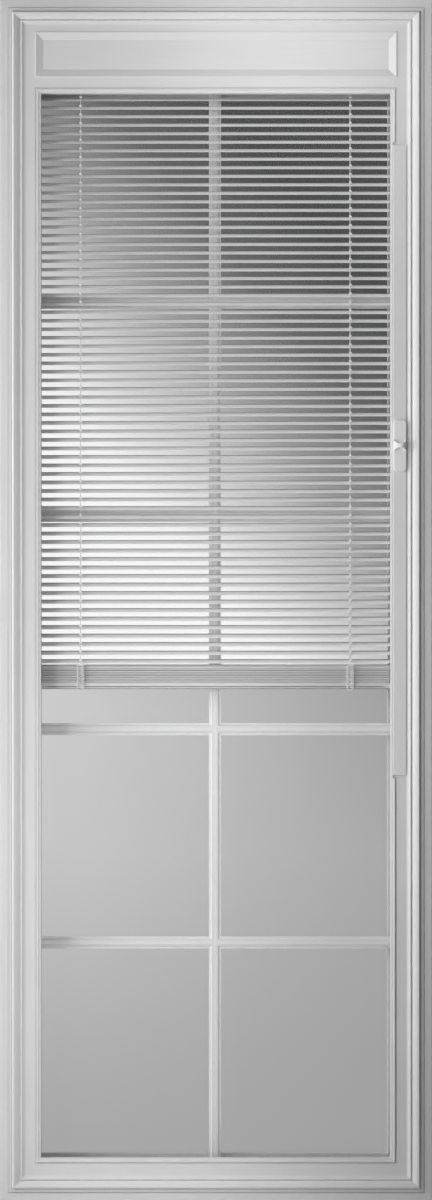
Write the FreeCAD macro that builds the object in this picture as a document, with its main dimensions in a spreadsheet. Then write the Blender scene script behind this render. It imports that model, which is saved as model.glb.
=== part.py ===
"""Door glass insert: a framed glass unit with a blind and a grille sealed between its panes.

Millimetres. X runs across the insert, Z is up and the room side faces -Y. The origin is the
centre of the door's cut-out, half way through the door.
"""
import FreeCAD
import Part
import Sketcher
import math
import os
import re

Vector = FreeCAD.Vector
doc = FreeCAD.newDocument("door_glass_insert")

# Driving sizes
SIZES = {
    # the frame's outline, and its faces from the outer edge to the glass on each side of the door
    "frame_width": 605.0,
    "frame_height": 1680.0,
    "door_thickness": 44.5,
    "stile_face": 58.0,
    "sill_face": 60.0,
    "head_face": 131.5,
    "back_stile_face": 58.0,
    "back_sill_face": 60.0,
    "back_head_face": 131.5,
    # the moulding's section: offsets run in from the outer edge, heights rise from the door's face
    "seat_width": 3.0,
    "lip_width": 11.6,
    "lip_height": 8.0,
    "lip_radius": 1.5,
    "quirk_width": 0.8,
    "quirk_depth": 0.8,
    "step_width": 4.4,
    "step_height": 9.4,
    "channel_width": 12.0,
    "channel_floor": 5.0,
    "valley_height": 8.0,
    "ridge_run": 1.6,
    "ridge_flat": 0.8,
    "ridge_height": 9.8,
    "cove_width": 5.2,
    "cove_radius": 9.0,
    "web_height": 7.5,
    "web_thickness": 3.2,
    "shell": 3.0,
    "wall_offset": 17.0,
    "wall_thickness": 2.6,
    "joint_depth": 20.0,
    # the round bead, moulded on the outdoor frame and a snap-in trim on the indoor one
    "crest_offset": 2.8,
    "crest_height": 13.0,
    "crest_drop": 1.8,
    "crest_radius": 3.0,
    "bead_radius": 15.0,
    "trim_clearance": 0.4,
    "trim_wall": 1.8,
    "trim_roof": 8.2,
    # the double bead round the glass, with offsets away from the opening
    "bead_edge": 0.8,
    "bead_flat": 3.2,
    "bead_low": 7.8,
    "bead_rise": 0.7,
    "bead_high": 8.8,
    "bead_width": 6.4,
    "bead_groove": 1.8,
    "groove_floor": 6.0,
    "foot_width": 9.0,
    "foot_thickness": 2.0,
    "tape_thickness": 1.6,
    "tape_setback": 0.5,
    # screws
    "screw_offset": 22.6,
    "screw_end": 180.0,
    "screw_radius": 2.1,
    "screw_length": 38.0,
    "head_radius": 3.2,
    "head_thickness": 2.4,
    "boss_width": 6.4,
    "hole_clearance": 0.3,
    "pilot_clearance": 0.05,
    "pilot_depth": 17.0,
    # header cover
    "cover_overlap": 8.5,
    "cover_gap": 22.3,
    "cover_top": 45.5,
    "cover_rim": 1.2,
    "cover_rim_width": 1.6,
    "cover_rim_radius": 0.5,
    "cover_bevel": 11.2,
    "cover_field": 5.2,
    "cover_thickness": 1.8,
    "cover_land": 3.0,
    "cover_clearance": 0.4,
    "tab_width": 14.0,
    "tab_pitch": 180.0,
    "tab_thickness": 1.6,
    "tab_reach": 2.7,
    "tab_hook": 0.8,
    # operator track and handle
    "track_offset": 3.3,
    "track_width": 18.2,
    "track_top": 204.1,
    "track_length": 880.9,
    "track_floor": 6.0,
    "track_thickness": 3.0,
    "track_chamfer": 0.5,
    "track_clearance": 0.3,
    "track_margin": 4.5,
    "handle_drop": 624.4,
    "handle_length": 71.5,
    "handle_width": 18.0,
    "handle_thickness": 3.0,
    "handle_corner": 5.0,
    "handle_bevel": 0.7,
    "handle_clearance": 0.2,
    "fin_height": 6.0,
    "fin_length": 20.0,
    "fin_waist": 8.0,
    "scoop_radius": 13.6,
    "magnet_width": 10.0,
    "magnet_length": 30.0,
    "magnet_thickness": 2.0,
    "magnet_clearance": 0.1,
    # glass unit
    "glass_margin": 26.2,
    "pane_thickness": 3.2,
    "blind_gap": 19.0,
    "grille_gap": 8.0,
    "seal_width": 6.0,
    "spacer_width": 9.0,
    "block_length": 80.0,
    "block_spread": 140.0,
    "block_depth": 30.0,
    # grille
    "grille_top": 420.0,
    "lite_height": 300.6,
    "bar_width": 17.0,
    "bar_field": 8.8,
    "bar_border": 2.65,
    "bar_thickness": 6.0,
    "bar_edge": 2.8,
    "clip_thickness": 1.0,
    # headrail
    "rail_cap": 5.3,
    "rail_depth": 17.0,
    "rail_height": 26.0,
    "rail_wall": 1.2,
    "rail_gap": 0.3,
    "slot_width": 8.0,
    "rod_radius": 2.0,
    "rod_height": 13.0,
    "rod_clearance": 0.05,
    "rod_socket": 2.0,
    "drum_radius": 6.0,
    "drum_width": 10.0,
    "guide_margin": 1.0,
    "guide_height": 9.0,
    # slats, cords and bottom rail
    "slat_clearance": 0.5,
    "slat_width": 12.5,
    "slat_crown": 1.2,
    "slat_thickness": 0.3,
    "slat_tilt": 28.0,
    "slat_first": 10.9,
    "slat_pitch": 11.96,
    "stack_gap": 13.4,
    "stack_height": 27.6,
    "stack_notch": 0.7,
    "bottom_height": 8.0,
    "bottom_depth": 13.0,
    "bottom_corner": 2.0,
    "bottom_wall": 1.0,
    "bottom_cap": 2.0,
    "cap_plug": 8.0,
    "cap_clearance": 0.1,
    "ladder_inset": 56.7,
    "ladder_radius": 0.6,
    "cord_radius": 0.35,
    "cord_gap": 0.4,
    "cord_end_gap": 0.3,
    "clip_width": 6.0,
    "clip_wall": 1.4,
    "clip_height": 8.0,
    # carriage inside the glass unit
    "channel_inset": 0.5,
    "channel_wall": 0.8,
    "channel_back": 1.0,
    "channel_lip": 1.2,
    "channel_reach": 14.8,
    "channel_top": 6.5,
    "channel_length": 1030.0,
    "carriage_length": 44.0,
    "carriage_clearance": 0.4,
    "draw_spread": 3.0,
}
SLATS = 71
STACK_LAYERS = 14
STILE_SCREWS = 4
LITES_HIGH = 5
TABS = 3

sheet = doc.addObject("Spreadsheet::Sheet", "Sizes")
for row, (alias, number) in enumerate(SIZES.items(), 1):
    sheet.set(f"A{row}", alias)
    sheet.set(f"B{row}", str(number))
    sheet.setAlias(f"B{row}", alias)
doc.recompute()


def tied(text):
    """The expression with each size's name pointing at its cell in the sheet."""
    return re.sub(r"[a-z_]+", lambda word: "Sizes." + word[0] if word[0] in SIZES else word[0], str(text))


def size(text):
    """The number that an expression comes to now."""
    return float(sheet.evalExpression(tied(text)))


# Places that several pieces share, as expressions
ROOM, OUTDOORS = -1, 1
HALF_WIDTH = "(frame_width / 2)"
HALF_HEIGHT = "(frame_height / 2)"
SEAT = "(door_thickness / 2)"
STEP = "(lip_width + quirk_width)"
CHANNEL = f"({STEP} + step_width)"
RIDGE = f"({CHANNEL} + channel_width)"
COVE = f"({RIDGE} + ridge_run + ridge_flat)"
FLAT = f"({COVE} + cove_width)"
FLOOR_BACK = "(channel_floor - shell)"
BEAD = "(bead_width + bead_groove)"
UNIT = "(3 * pane_thickness + blind_gap + grille_gap)"
FOOT = f"({UNIT} / 2 - {SEAT} + tape_thickness)"
PANE_1 = f"(-{UNIT} / 2)"
BLIND_FRONT = f"({PANE_1} + pane_thickness)"
PANE_2 = f"({BLIND_FRONT} + blind_gap)"
GRILLE_FRONT = f"({PANE_2} + pane_thickness)"
PANE_3 = f"({GRILLE_FRONT} + grille_gap)"
UNIT_BACK = f"({UNIT} / 2)"
GLASS_X = f"({HALF_WIDTH} - glass_margin)"
GLASS_Z = f"({HALF_HEIGHT} - glass_margin)"
SPACER_X = f"({GLASS_X} - seal_width)"
SPACER_Z = f"({GLASS_Z} - seal_width)"
CAVITY_X = f"({SPACER_X} - spacer_width)"
CAVITY_Z = f"({SPACER_Z} - spacer_width)"
OPENING = {
    ROOM: (f"({HALF_WIDTH} - stile_face)", f"(sill_face - {HALF_HEIGHT})", f"({HALF_HEIGHT} - head_face)"),
    OUTDOORS: (
        f"({HALF_WIDTH} - back_stile_face)",
        f"(back_sill_face - {HALF_HEIGHT})",
        f"({HALF_HEIGHT} - back_head_face)",
    ),
}
RAIL_HALF = f"({CAVITY_X} - rail_cap)"
SLAT_HALF = f"({CAVITY_X} - channel_reach - slat_clearance)"
LADDER_X = f"({SLAT_HALF} - ladder_inset)"
BLIND_Y = f"({BLIND_FRONT} + blind_gap / 2)"
GRILLE_Y = f"({GRILLE_FRONT} + grille_gap / 2)"
RAIL_TOP = f"({CAVITY_Z} - rail_gap)"
RAIL_LOW = f"({RAIL_TOP} - rail_height)"
ROD_Z = f"({RAIL_LOW} + rod_height)"
FIRST_SLAT = f"({RAIL_LOW} - slat_first)"
LAST_SLAT = f"({FIRST_SLAT} - {SLATS - 1} * slat_pitch)"
STACK_TOP = f"({LAST_SLAT} - stack_gap)"
STACK_LOW = f"({STACK_TOP} - stack_height)"
BOTTOM_LOW = f"({STACK_LOW} - bottom_height)"
SLAT_FRONT = f"({BLIND_Y} - slat_width / 2)"
SLAT_BACK = f"({BLIND_Y} + slat_width / 2)"
TRACK_LEFT = f"({OPENING[ROOM][0]} + track_offset)"
TRACK_HIGH = f"({HALF_HEIGHT} - track_top)"
TRACK_LOW = f"({TRACK_HIGH} - track_length)"
TRACK_FACE = f"({SEAT} + track_floor + track_thickness)"
HANDLE_X = f"({TRACK_LEFT} + track_width / 2)"
HANDLE_Z = f"({HALF_HEIGHT} - handle_drop)"
HANDLE_BACK = f"({TRACK_FACE} + handle_clearance)"
HANDLE_FACE = f"({HANDLE_BACK} + handle_thickness)"
CARRIAGE_LEFT = f"({CAVITY_X} - channel_reach + channel_wall + carriage_clearance)"
CARRIAGE_RIGHT = f"({CAVITY_X} - channel_back - carriage_clearance)"
CARRIAGE_X = f"(({CARRIAGE_LEFT} + {CARRIAGE_RIGHT}) / 2)"
GUIDE_LEFT = f"({CARRIAGE_X} - slot_width / 2 - guide_margin)"
CARRIAGE_FRONT = f"({BLIND_FRONT} + channel_inset + channel_wall + carriage_clearance)"
CARRIAGE_BACK = f"({PANE_2} - channel_inset - channel_wall - carriage_clearance)"

pieces = []


def keep(piece):
    """Adds a finished piece to those that are written out."""
    pieces.append(piece)
    return piece


# Sketches and features
def new_body(name):
    return doc.addObject("PartDesign::Body", name)


def plane(body, role):
    return next(feature for feature in body.Origin.OriginFeatures if feature.Role == role)


def bind(drawn, constraint, text):
    """Adds a constraint whose value follows an expression."""
    index = drawn.addConstraint(constraint)
    drawn.setExpression(f"Constraints[{index}]", tied(text))


def arc_between(here, there, radius):
    """The arc from here to there, with its centre to the right of the way for a positive radius."""
    chord = there - here
    right = Vector(chord.y, -chord.x, 0).normalize()
    reach = math.sqrt(radius**2 - (chord.Length / 2) ** 2)
    centre = here + chord * 0.5 + right * math.copysign(reach, radius)
    first, last = (there, here) if radius > 0 else (here, there)
    angles = [math.atan2(point.y - centre.y, point.x - centre.x) for point in (first, last)]
    return Part.ArcOfCircle(Part.Circle(centre, Vector(0, 0, 1), abs(radius)), *angles)


def add_loop(drawn, loop):
    """Draws a closed loop of points (across, up); a third item is the radius of the arc that follows."""
    count = len(loop)
    base = drawn.GeometryCount
    corners = [Vector(size(point[0]), size(point[1]), 0) for point in loop]
    starts = []
    for index, point in enumerate(loop):
        here, there = corners[index], corners[(index + 1) % count]
        radius = size(point[2]) if len(point) == 3 else 0
        drawn.addGeometry(arc_between(here, there, radius) if radius else Part.LineSegment(here, there))
        starts.append(2 if radius > 0 else 1)
    for index in range(count):
        following = (index + 1) % count
        end = 3 - starts[index]
        drawn.addConstraint(
            Sketcher.Constraint("Coincident", base + index, end, base + following, starts[following])
        )
    for index, point in enumerate(loop):
        vertex = (base + index, starts[index])
        bind(drawn, Sketcher.Constraint("DistanceX", -1, 1, *vertex, corners[index].x), point[0])
        bind(drawn, Sketcher.Constraint("DistanceY", -1, 1, *vertex, corners[index].y), point[1])
        if len(point) == 3:
            radius = abs(size(point[2]))
            bind(drawn, Sketcher.Constraint("Radius", base + index, radius), f"abs({point[2]})")


def add_circle(drawn, across, up, radius):
    centre = Vector(size(across), size(up), 0)
    index = drawn.addGeometry(Part.Circle(centre, Vector(0, 0, 1), size(radius)))
    bind(drawn, Sketcher.Constraint("DistanceX", -1, 1, index, 3, centre.x), across)
    bind(drawn, Sketcher.Constraint("DistanceY", -1, 1, index, 3, centre.y), up)
    bind(drawn, Sketcher.Constraint("Radius", index, size(radius)), radius)


def sketch(body, role, loops=(), circles=(), lift="0"):
    """A sketch on one of the body's planes, raised by lift along the plane's normal."""
    drawn = body.newObject("Sketcher::SketchObject", "Sketch")
    drawn.AttachmentSupport = (plane(body, role), [""])
    drawn.MapMode = "FlatFace"
    drawn.setExpression("AttachmentOffset.Base.z", tied(lift))
    for loop in loops:
        add_loop(drawn, loop)
    for circle in circles:
        add_circle(drawn, *circle)
    return drawn


def pipe(body, section, path):
    """Sweeps a section round a closed path, with mitred corners."""
    feature = body.newObject("PartDesign::AdditivePipe", "Moulding")
    feature.Profile = section
    feature.Spine = (path, [])
    feature.Transition = "Right corner"
    return feature


def pad(body, drawn, length, backwards=False):
    feature = body.newObject("PartDesign::Pad", "Pad")
    feature.Profile = drawn
    feature.setExpression("Length", tied(length))
    feature.Reversed = backwards
    return feature


def pocket(body, drawn, depth, backwards=False):
    feature = body.newObject("PartDesign::Pocket", "Pocket")
    feature.Profile = drawn
    feature.setExpression("Length", tied(depth))
    feature.Reversed = backwards
    return feature


def rectangle(left, right, low, high):
    return [(left, low), (right, low), (right, high), (left, high)]


def round_path(body, half_width, low, high):
    """A rectangular path that starts in the middle of its bottom side, where the sections are drawn."""
    left = f"-{half_width}"
    corners = [("0", low), (half_width, low), (half_width, high), (left, high), (left, low)]
    return sketch(body, "XZ_Plane", [corners])


def section(points, side, base, direction=1):
    """A moulding's points, (offset, height), drawn where it crosses the middle of the bottom side."""
    drawn = []
    for offset, height, *radius in points:
        across = f"{side} * ({SEAT} + {height})"
        up = f"{base} + {direction} * ({offset})"
        drawn.append((across, up, *(f"{-side * direction} * ({value})" for value in radius)))
    return drawn


def slab(name, x, y, z):
    """A box between pairs of expressions on each axis."""
    made = doc.addObject("Part::Box", name)
    for length, axis, (low, high) in (("Length", "x", x), ("Width", "y", y), ("Height", "z", z)):
        made.setExpression(length, tied(f"{high} - ({low})"))
        made.setExpression(f"Placement.Base.{axis}", tied(low))
    return made


def ring(name, outer, inner, y):
    """A rectangular ring between two outlines (half width, low, high)."""
    blocks = [
        slab(f"{name}_{part}", (f"-{half}", half), y, (low, high))
        for part, (half, low, high) in (("outside", outer), ("inside", inner))
    ]
    made = doc.addObject("Part::Cut", name)
    made.Base, made.Tool = blocks
    return keep(made)


def solids(name, shapes):
    """A piece, or a group of like pieces, made directly as solids."""
    made = doc.addObject("Part::Feature", name)
    made.Shape = shapes[0] if len(shapes) == 1 else Part.Compound(shapes)
    return keep(made)


def rod(radius, start, end):
    """A round rod between two points, each three expressions."""
    start, end = (Vector(*(size(value) for value in point)) for point in (start, end))
    return Part.makeCylinder(size(radius), (end - start).Length, start, end - start)


def edges_at_depth(shape, depth):
    """Names of the edges that lie wholly at one depth."""
    level = size(depth)
    return [
        f"Edge{index}"
        for index, edge in enumerate(shape.Edges, 1)
        if all(abs(vertex.Y - level) < 1e-6 for vertex in edge.Vertexes)
    ]


# Frame sections
LIP = [
    ("0", "0"),
    ("0", "lip_height - lip_radius", "lip_radius"),
    ("lip_radius", "lip_height"),
    ("lip_width", "lip_height"),
    ("lip_width", "lip_height - quirk_depth"),
    (STEP, "lip_height - quirk_depth"),
    (STEP, "step_height"),
    (CHANNEL, "step_height"),
]
SCREW_CHANNEL = [
    (CHANNEL, "channel_floor"),
    (RIDGE, "channel_floor"),
]
ROUND_BEAD = [
    (CHANNEL, "crest_height - crest_drop", "crest_radius"),
    (f"{CHANNEL} + crest_offset", "crest_height", "bead_radius"),
]
RIDGE_AND_COVE = [
    (RIDGE, "valley_height"),
    (f"{RIDGE} + ridge_run", "ridge_height"),
    (COVE, "ridge_height", "-cove_radius"),
    (FLAT, "web_height"),
]
GLASS_BEAD = [
    ("0", FOOT),
    ("0", "bead_low - bead_edge", "bead_edge"),
    ("bead_edge", "bead_low"),
    ("bead_flat", "bead_low"),
    ("bead_flat + bead_rise", "bead_high"),
    ("bead_width - bead_rise", "bead_high"),
    ("bead_width", "bead_low"),
    ("bead_width", "groove_floor"),
    (BEAD, "groove_floor"),
    (BEAD, "web_height - web_thickness"),
    ("shell", "web_height - web_thickness"),
    ("shell", f"{FOOT} + foot_thickness"),
    ("foot_width", f"{FOOT} + foot_thickness"),
    ("foot_width", FOOT),
]


def underside(wall_depth):
    """The back of the moulding, with the wall that passes through the door's cut-out."""
    inner = "wall_offset + wall_thickness"
    return [
        (FLAT, FLOOR_BACK),
        (inner, FLOOR_BACK),
        (inner, f"-{wall_depth}"),
        ("wall_offset", f"-{wall_depth}"),
        ("wall_offset", FLOOR_BACK),
        ("seat_width", "lip_height - shell"),
        ("seat_width", "0"),
    ]


def screw_places():
    """The screws' (x, z): rows up both stiles, and one in the middle of the head and of the sill."""
    stile_x = f"({HALF_WIDTH} - screw_offset)"
    rail_z = f"({HALF_HEIGHT} - screw_offset)"
    pitch = f"(frame_height - 2 * screw_end) / {STILE_SCREWS - 1}"
    heights = [f"screw_end - {HALF_HEIGHT} + {row} * {pitch}" for row in range(STILE_SCREWS)]
    stiles = [(f"{side} * {stile_x}", height) for side in (-1, 1) for height in heights]
    return stiles + [("0", f"-{rail_z}"), ("0", rail_z)]


def moulded_frame(name, side, face, wall_depth):
    """One half of the frame: moulding, flat web and the bead round the glass."""
    frame = new_body(name)
    base = f"-{HALF_HEIGHT}"
    outline = section(LIP + face + RIDGE_AND_COVE + underside(wall_depth), side, base)
    pipe(frame, sketch(frame, "YZ_Plane", [outline]), round_path(frame, HALF_WIDTH, base, HALF_HEIGHT))
    half, low, high = OPENING[side]
    web = [
        rectangle(f"{FLAT} - {HALF_WIDTH}", f"{HALF_WIDTH} - {FLAT}", f"{FLAT} - {HALF_HEIGHT}",
                  f"{HALF_HEIGHT} - {FLAT}"),
        rectangle(f"-{half} - {BEAD}", f"{half} + {BEAD}", f"{low} - {BEAD}", f"{high} + {BEAD}"),
    ]
    lift = f"{-side} * ({SEAT} + web_height - web_thickness)"
    pad(frame, sketch(frame, "XZ_Plane", web, lift=lift), "web_thickness", side == OUTDOORS)
    bead = section(GLASS_BEAD, side, low, -1)
    pipe(frame, sketch(frame, "YZ_Plane", [bead]), round_path(frame, half, low, high))
    return keep(frame)


def cover_edges(inset="0"):
    """The header cover's outline as half width, low and high, moved in by inset."""
    half, _, head = OPENING[ROOM]
    high = f"({HALF_HEIGHT} - cover_top - {inset})"
    low = f"({head} + cover_gap + {inset})"
    return f"({half} + cover_overlap - {inset})", low, high


def make_interior_frame():
    frame = moulded_frame("interior_frame", ROOM, SCREW_CHANNEL, "joint_depth")
    half, low, high = cover_edges("cover_land")
    window = rectangle(f"-{half}", half, low, high)
    pocket(frame, sketch(frame, "XZ_Plane", [window], lift=f"{SEAT} + web_height"), "web_thickness")
    seat = rectangle(f"{TRACK_LEFT} - track_clearance", f"{TRACK_LEFT} + track_width + track_clearance",
                     f"{TRACK_LOW} - track_margin", f"{TRACK_HIGH} + track_margin")
    depth = "ridge_height - track_floor"
    pocket(frame, sketch(frame, "XZ_Plane", [seat], lift=f"{SEAT} + ridge_height"), depth)
    holes = [(x, z, "screw_radius + hole_clearance") for x, z in screw_places()]
    pocket(frame, sketch(frame, "XZ_Plane", circles=holes, lift=f"{SEAT} + channel_floor"), "shell")


def make_exterior_frame():
    depth = "(door_thickness - joint_depth)"
    frame = moulded_frame("exterior_frame", OUTDOORS, ROUND_BEAD, depth)
    half = "boss_width / 2"
    bosses = [
        rectangle(f"{x} - {half}", f"{x} + {half}", f"{z} - {half}", f"{z} + {half}")
        for x, z in screw_places()
    ]
    start = f"-({SEAT} + {FLOOR_BACK})"
    pad(frame, sketch(frame, "XZ_Plane", bosses, lift=start), f"{FLOOR_BACK} + {depth}")
    pilots = [(x, z, "screw_radius + pilot_clearance") for x, z in screw_places()]
    pocket(frame, sketch(frame, "XZ_Plane", circles=pilots, lift=f"{SEAT} - joint_depth"), "pilot_depth")


def make_screws():
    shapes = []
    for x, z in screw_places():
        under = f"-({SEAT} + channel_floor)"
        head = rod("head_radius", (x, f"{under} - head_thickness", z), (x, under, z))
        shank = rod("screw_radius", (x, under, z), (x, f"{under} + screw_length", z))
        shapes.append(head.fuse(shank))
    solids("frame_screws", shapes)


def make_bead_trims():
    """A ring of trim with the bead's section, cut along the mitres into four strips."""
    low = f"{CHANNEL} + trim_clearance"
    high = f"{RIDGE} - trim_clearance"
    points = [
        (low, "channel_floor"),
        (low, "crest_height - crest_drop", "crest_radius"),
        (f"{CHANNEL} + crest_offset", "crest_height", "bead_radius"),
        (high, "valley_height"),
        (high, "channel_floor"),
        (f"{high} - trim_wall", "channel_floor"),
        (f"{high} - trim_wall", "trim_roof - trim_clearance"),
        (f"{low} + trim_wall", "trim_roof + trim_clearance"),
        (f"{low} + trim_wall", "channel_floor"),
    ]
    band = new_body("trim_band")
    base = f"-{HALF_HEIGHT}"
    drawn = sketch(band, "YZ_Plane", [section(points, ROOM, base)])
    pipe(band, drawn, round_path(band, HALF_WIDTH, base, HALF_HEIGHT))
    sides = (("bottom", 0, HALF_WIDTH, HALF_HEIGHT), ("right", -90, HALF_HEIGHT, HALF_WIDTH),
             ("top", 180, HALF_WIDTH, HALF_HEIGHT), ("left", 90, HALF_HEIGHT, HALF_WIDTH))
    for name, turn, half, away in sides:
        mitre = doc.addObject("Part::Wedge", f"mitre_{name}")
        limits = {
            "Xmin": f"-{half}", "Xmax": half, "X2min": f"{FLAT} - {half}", "X2max": f"{half} - {FLAT}",
            "Ymin": "0", "Ymax": FLAT, "Zmin": SEAT, "Zmax": f"{SEAT} + crest_height + shell",
            "Z2min": SEAT, "Z2max": f"{SEAT} + crest_height + shell",
        }
        for limit, text in limits.items():
            mitre.setExpression(limit, tied(text))
        stand = FreeCAD.Placement(Vector(0, 0, -size(away)), FreeCAD.Rotation(Vector(1, 0, 0), 90))
        spin = FreeCAD.Placement(Vector(), FreeCAD.Rotation(Vector(0, 1, 0), turn))
        mitre.Placement = spin * stand
        strip = doc.addObject("Part::Common", f"bead_trim_{name}")
        strip.Base, strip.Tool = band, mitre
        keep(strip)


def make_header_cover():
    cover = new_body("header_cover")
    half, low, high = cover_edges()
    top = "(web_height + cover_rim)"
    wall = "cover_land + cover_clearance"
    fall = f"(({top} - cover_field) / (cover_bevel - cover_rim_width))"
    points = [
        ("0", "web_height"),
        ("0", f"{top} - cover_rim_radius", "cover_rim_radius"),
        ("cover_rim_radius", top),
        ("cover_rim_width", top),
        ("cover_bevel", "cover_field"),
        ("cover_bevel", "cover_field - cover_thickness"),
        (wall, f"{top} - {fall} * ({wall} - cover_rim_width) - cover_thickness"),
        (wall, "web_height"),
    ]
    pipe(cover, sketch(cover, "YZ_Plane", [section(points, ROOM, low)]), round_path(cover, half, low, high))
    inner, floor, ceiling = cover_edges("cover_bevel")
    field = rectangle(f"-{inner}", inner, floor, ceiling)
    lift = f"{SEAT} + cover_field - cover_thickness"
    pad(cover, sketch(cover, "XZ_Plane", [field], lift=lift), "cover_thickness")
    web_back = "(web_height - web_thickness)"
    legs, hooks = [], []
    for edge, inward in ((low, 1), (high, -1)):
        for place in range(TABS):
            centre = f"{place - (TABS - 1) / 2} * tab_pitch"
            left, right = f"{centre} - tab_width / 2", f"{centre} + tab_width / 2"
            wall_z = f"{edge} + {inward} * ({wall})"
            inner_z = f"{wall_z} + {inward} * tab_thickness"
            hook_z = f"{wall_z} - {inward} * (cover_clearance + tab_hook)"
            legs.append(rectangle(left, right, *((wall_z, inner_z)[::inward])))
            hooks.append(rectangle(left, right, *((hook_z, inner_z)[::inward])))
    hook_top = f"({web_back} - cover_clearance)"
    leg_sketch = sketch(cover, "XZ_Plane", legs, lift=f"{SEAT} + {hook_top}")
    pad(cover, leg_sketch, f"web_height - cover_thickness - {hook_top}")
    start = f"{SEAT} + {hook_top} - tab_reach"
    pad(cover, sketch(cover, "XZ_Plane", hooks, lift=start), "tab_reach")
    keep(cover)


def make_track():
    track = new_body("operator_track")
    plate = rectangle(TRACK_LEFT, f"{TRACK_LEFT} + track_width", TRACK_LOW, TRACK_HIGH)
    made = pad(track, sketch(track, "XZ_Plane", [plate], lift=f"{SEAT} + track_floor"), "track_thickness")
    doc.recompute()
    bevel = track.newObject("PartDesign::Chamfer", "Edges")
    bevel.Base = (made, edges_at_depth(made.Shape, f"-{TRACK_FACE}"))
    bevel.setExpression("Size", tied("track_chamfer"))
    keep(track)


def make_handle():
    """A slim plate with two thumb pads, scooped to a waisted fin between them."""
    handle = new_body("operator_handle")
    half, reach = "handle_width / 2", "handle_length / 2"
    left, right = f"({HANDLE_X} - {half})", f"({HANDLE_X} + {half})"
    low, high = f"({HANDLE_Z} - {reach})", f"({HANDLE_Z} + {reach})"
    corner = "handle_corner"
    plate = [
        (f"{left} + {corner}", low),
        (f"{right} - {corner}", low, f"-{corner}"),
        (right, f"{low} + {corner}"),
        (right, f"{high} - {corner}", f"-{corner}"),
        (f"{right} - {corner}", high),
        (f"{left} + {corner}", high, f"-{corner}"),
        (left, f"{high} - {corner}"),
        (left, f"{low} + {corner}", f"-{corner}"),
    ]
    made = pad(handle, sketch(handle, "XZ_Plane", [plate], lift=HANDLE_BACK), "handle_thickness")
    doc.recompute()
    bevel = handle.newObject("PartDesign::Chamfer", "Rim")
    bevel.Base = (made, edges_at_depth(made.Shape, f"-{HANDLE_FACE}"))
    bevel.setExpression("Size", tied("handle_bevel"))
    radius = "((fin_length * fin_length / 4 + fin_height * fin_height) / (2 * fin_height))"
    face = f"-{HANDLE_FACE}"
    root = f"({face} + handle_bevel)"
    ends = [f"({HANDLE_Z} - fin_length / 2)", f"({HANDLE_Z} + fin_length / 2)"]
    hump = [(root, ends[1]), (face, ends[1], f"-{radius}"), (face, ends[0]), (root, ends[0])]
    inset = "(handle_width - 2 * handle_bevel)"
    pad(handle, sketch(handle, "YZ_Plane", [hump], lift=f"{left} + handle_bevel"), inset)
    centre = "(fin_waist / 2 + scoop_radius)"
    scoops = [(HANDLE_X, f"{HANDLE_Z} + {side} * {centre}", "scoop_radius") for side in (-1, 1)]
    pocket(handle, sketch(handle, "XZ_Plane", circles=scoops, lift=HANDLE_FACE), "fin_height", True)
    recess = rectangle(*magnet_outline("magnet_clearance"))
    pocket(handle, sketch(handle, "XZ_Plane", [recess], lift=HANDLE_BACK), "magnet_thickness", True)
    keep(handle)


def magnet_outline(grow="0", x=HANDLE_X):
    """Left, right, low and high of a magnet behind the handle's middle."""
    half, reach = f"(magnet_width / 2 + {grow})", f"(magnet_length / 2 + {grow})"
    return f"{x} - {half}", f"{x} + {half}", f"{HANDLE_Z} - {reach}", f"{HANDLE_Z} + {reach}"


def make_handle_magnet():
    left, right, low, high = magnet_outline()
    back = f"-{HANDLE_BACK}"
    keep(slab("handle_magnet", (left, right), (f"{back} - magnet_thickness", back), (low, high)))


def make_glass_unit():
    across, up = (f"-{GLASS_X}", GLASS_X), (f"-{GLASS_Z}", GLASS_Z)
    for name, front in (("interior_pane", PANE_1), ("middle_pane", PANE_2), ("exterior_pane", PANE_3)):
        keep(slab(name, across, (front, f"{front} + pane_thickness"), up))
    glass = (GLASS_X, f"-{GLASS_Z}", GLASS_Z)
    spacer = (SPACER_X, f"-{SPACER_Z}", SPACER_Z)
    cavity = (CAVITY_X, f"-{CAVITY_Z}", CAVITY_Z)
    for name, front, back in (("blind", BLIND_FRONT, PANE_2), ("grille", GRILLE_FRONT, PANE_3)):
        ring(f"{name}_edge_seal", glass, spacer, (front, back))
        ring(f"{name}_spacer", spacer, cavity, (front, back))
    tapes = (("interior", ROOM, f"-{UNIT_BACK} - tape_thickness", f"-{UNIT_BACK}"),
             ("exterior", OUTDOORS, UNIT_BACK, f"{UNIT_BACK} + tape_thickness"))
    for name, side, front, back in tapes:
        half, low, high = OPENING[side]
        outer = (f"({half} + foot_width)", f"({low} - foot_width)", f"({high} + foot_width)")
        inner = (f"({half} + tape_setback)", f"({low} - tape_setback)", f"({high} + tape_setback)")
        ring(f"{name}_glazing_tape", outer, inner, (front, back))
    blocks = []
    for side in (-1, 1):
        corner = [f"{side} * block_spread - block_length / 2", "-block_depth / 2",
                  f"wall_offset + wall_thickness - {HALF_HEIGHT}"]
        height = "glass_margin - wall_offset - wall_thickness"
        spans = [size(text) for text in ("block_length", "block_depth", height)]
        blocks.append(Part.makeBox(*spans, Vector(*(size(text) for text in corner))))
    solids("setting_blocks", blocks)


# Grille
def bar_outline():
    """The contoured bar's section, (across, depth), about its middle."""
    half, shoulder, field = "bar_width / 2", "(bar_width / 2 - bar_border)", "bar_field / 2"
    thin, thick = "bar_edge / 2", "bar_thickness / 2"
    front = [(f"-{half}", f"-{thin}"), (f"-{shoulder}", f"-{thin}"), (f"-{field}", f"-{thick}"),
             (field, f"-{thick}"), (shoulder, f"-{thin}"), (half, f"-{thin}")]
    back = [(half, thin), (shoulder, thin), (field, thick), (f"-{field}", thick),
            (f"-{shoulder}", thin), (f"-{half}", thin)]
    return front + back


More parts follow.
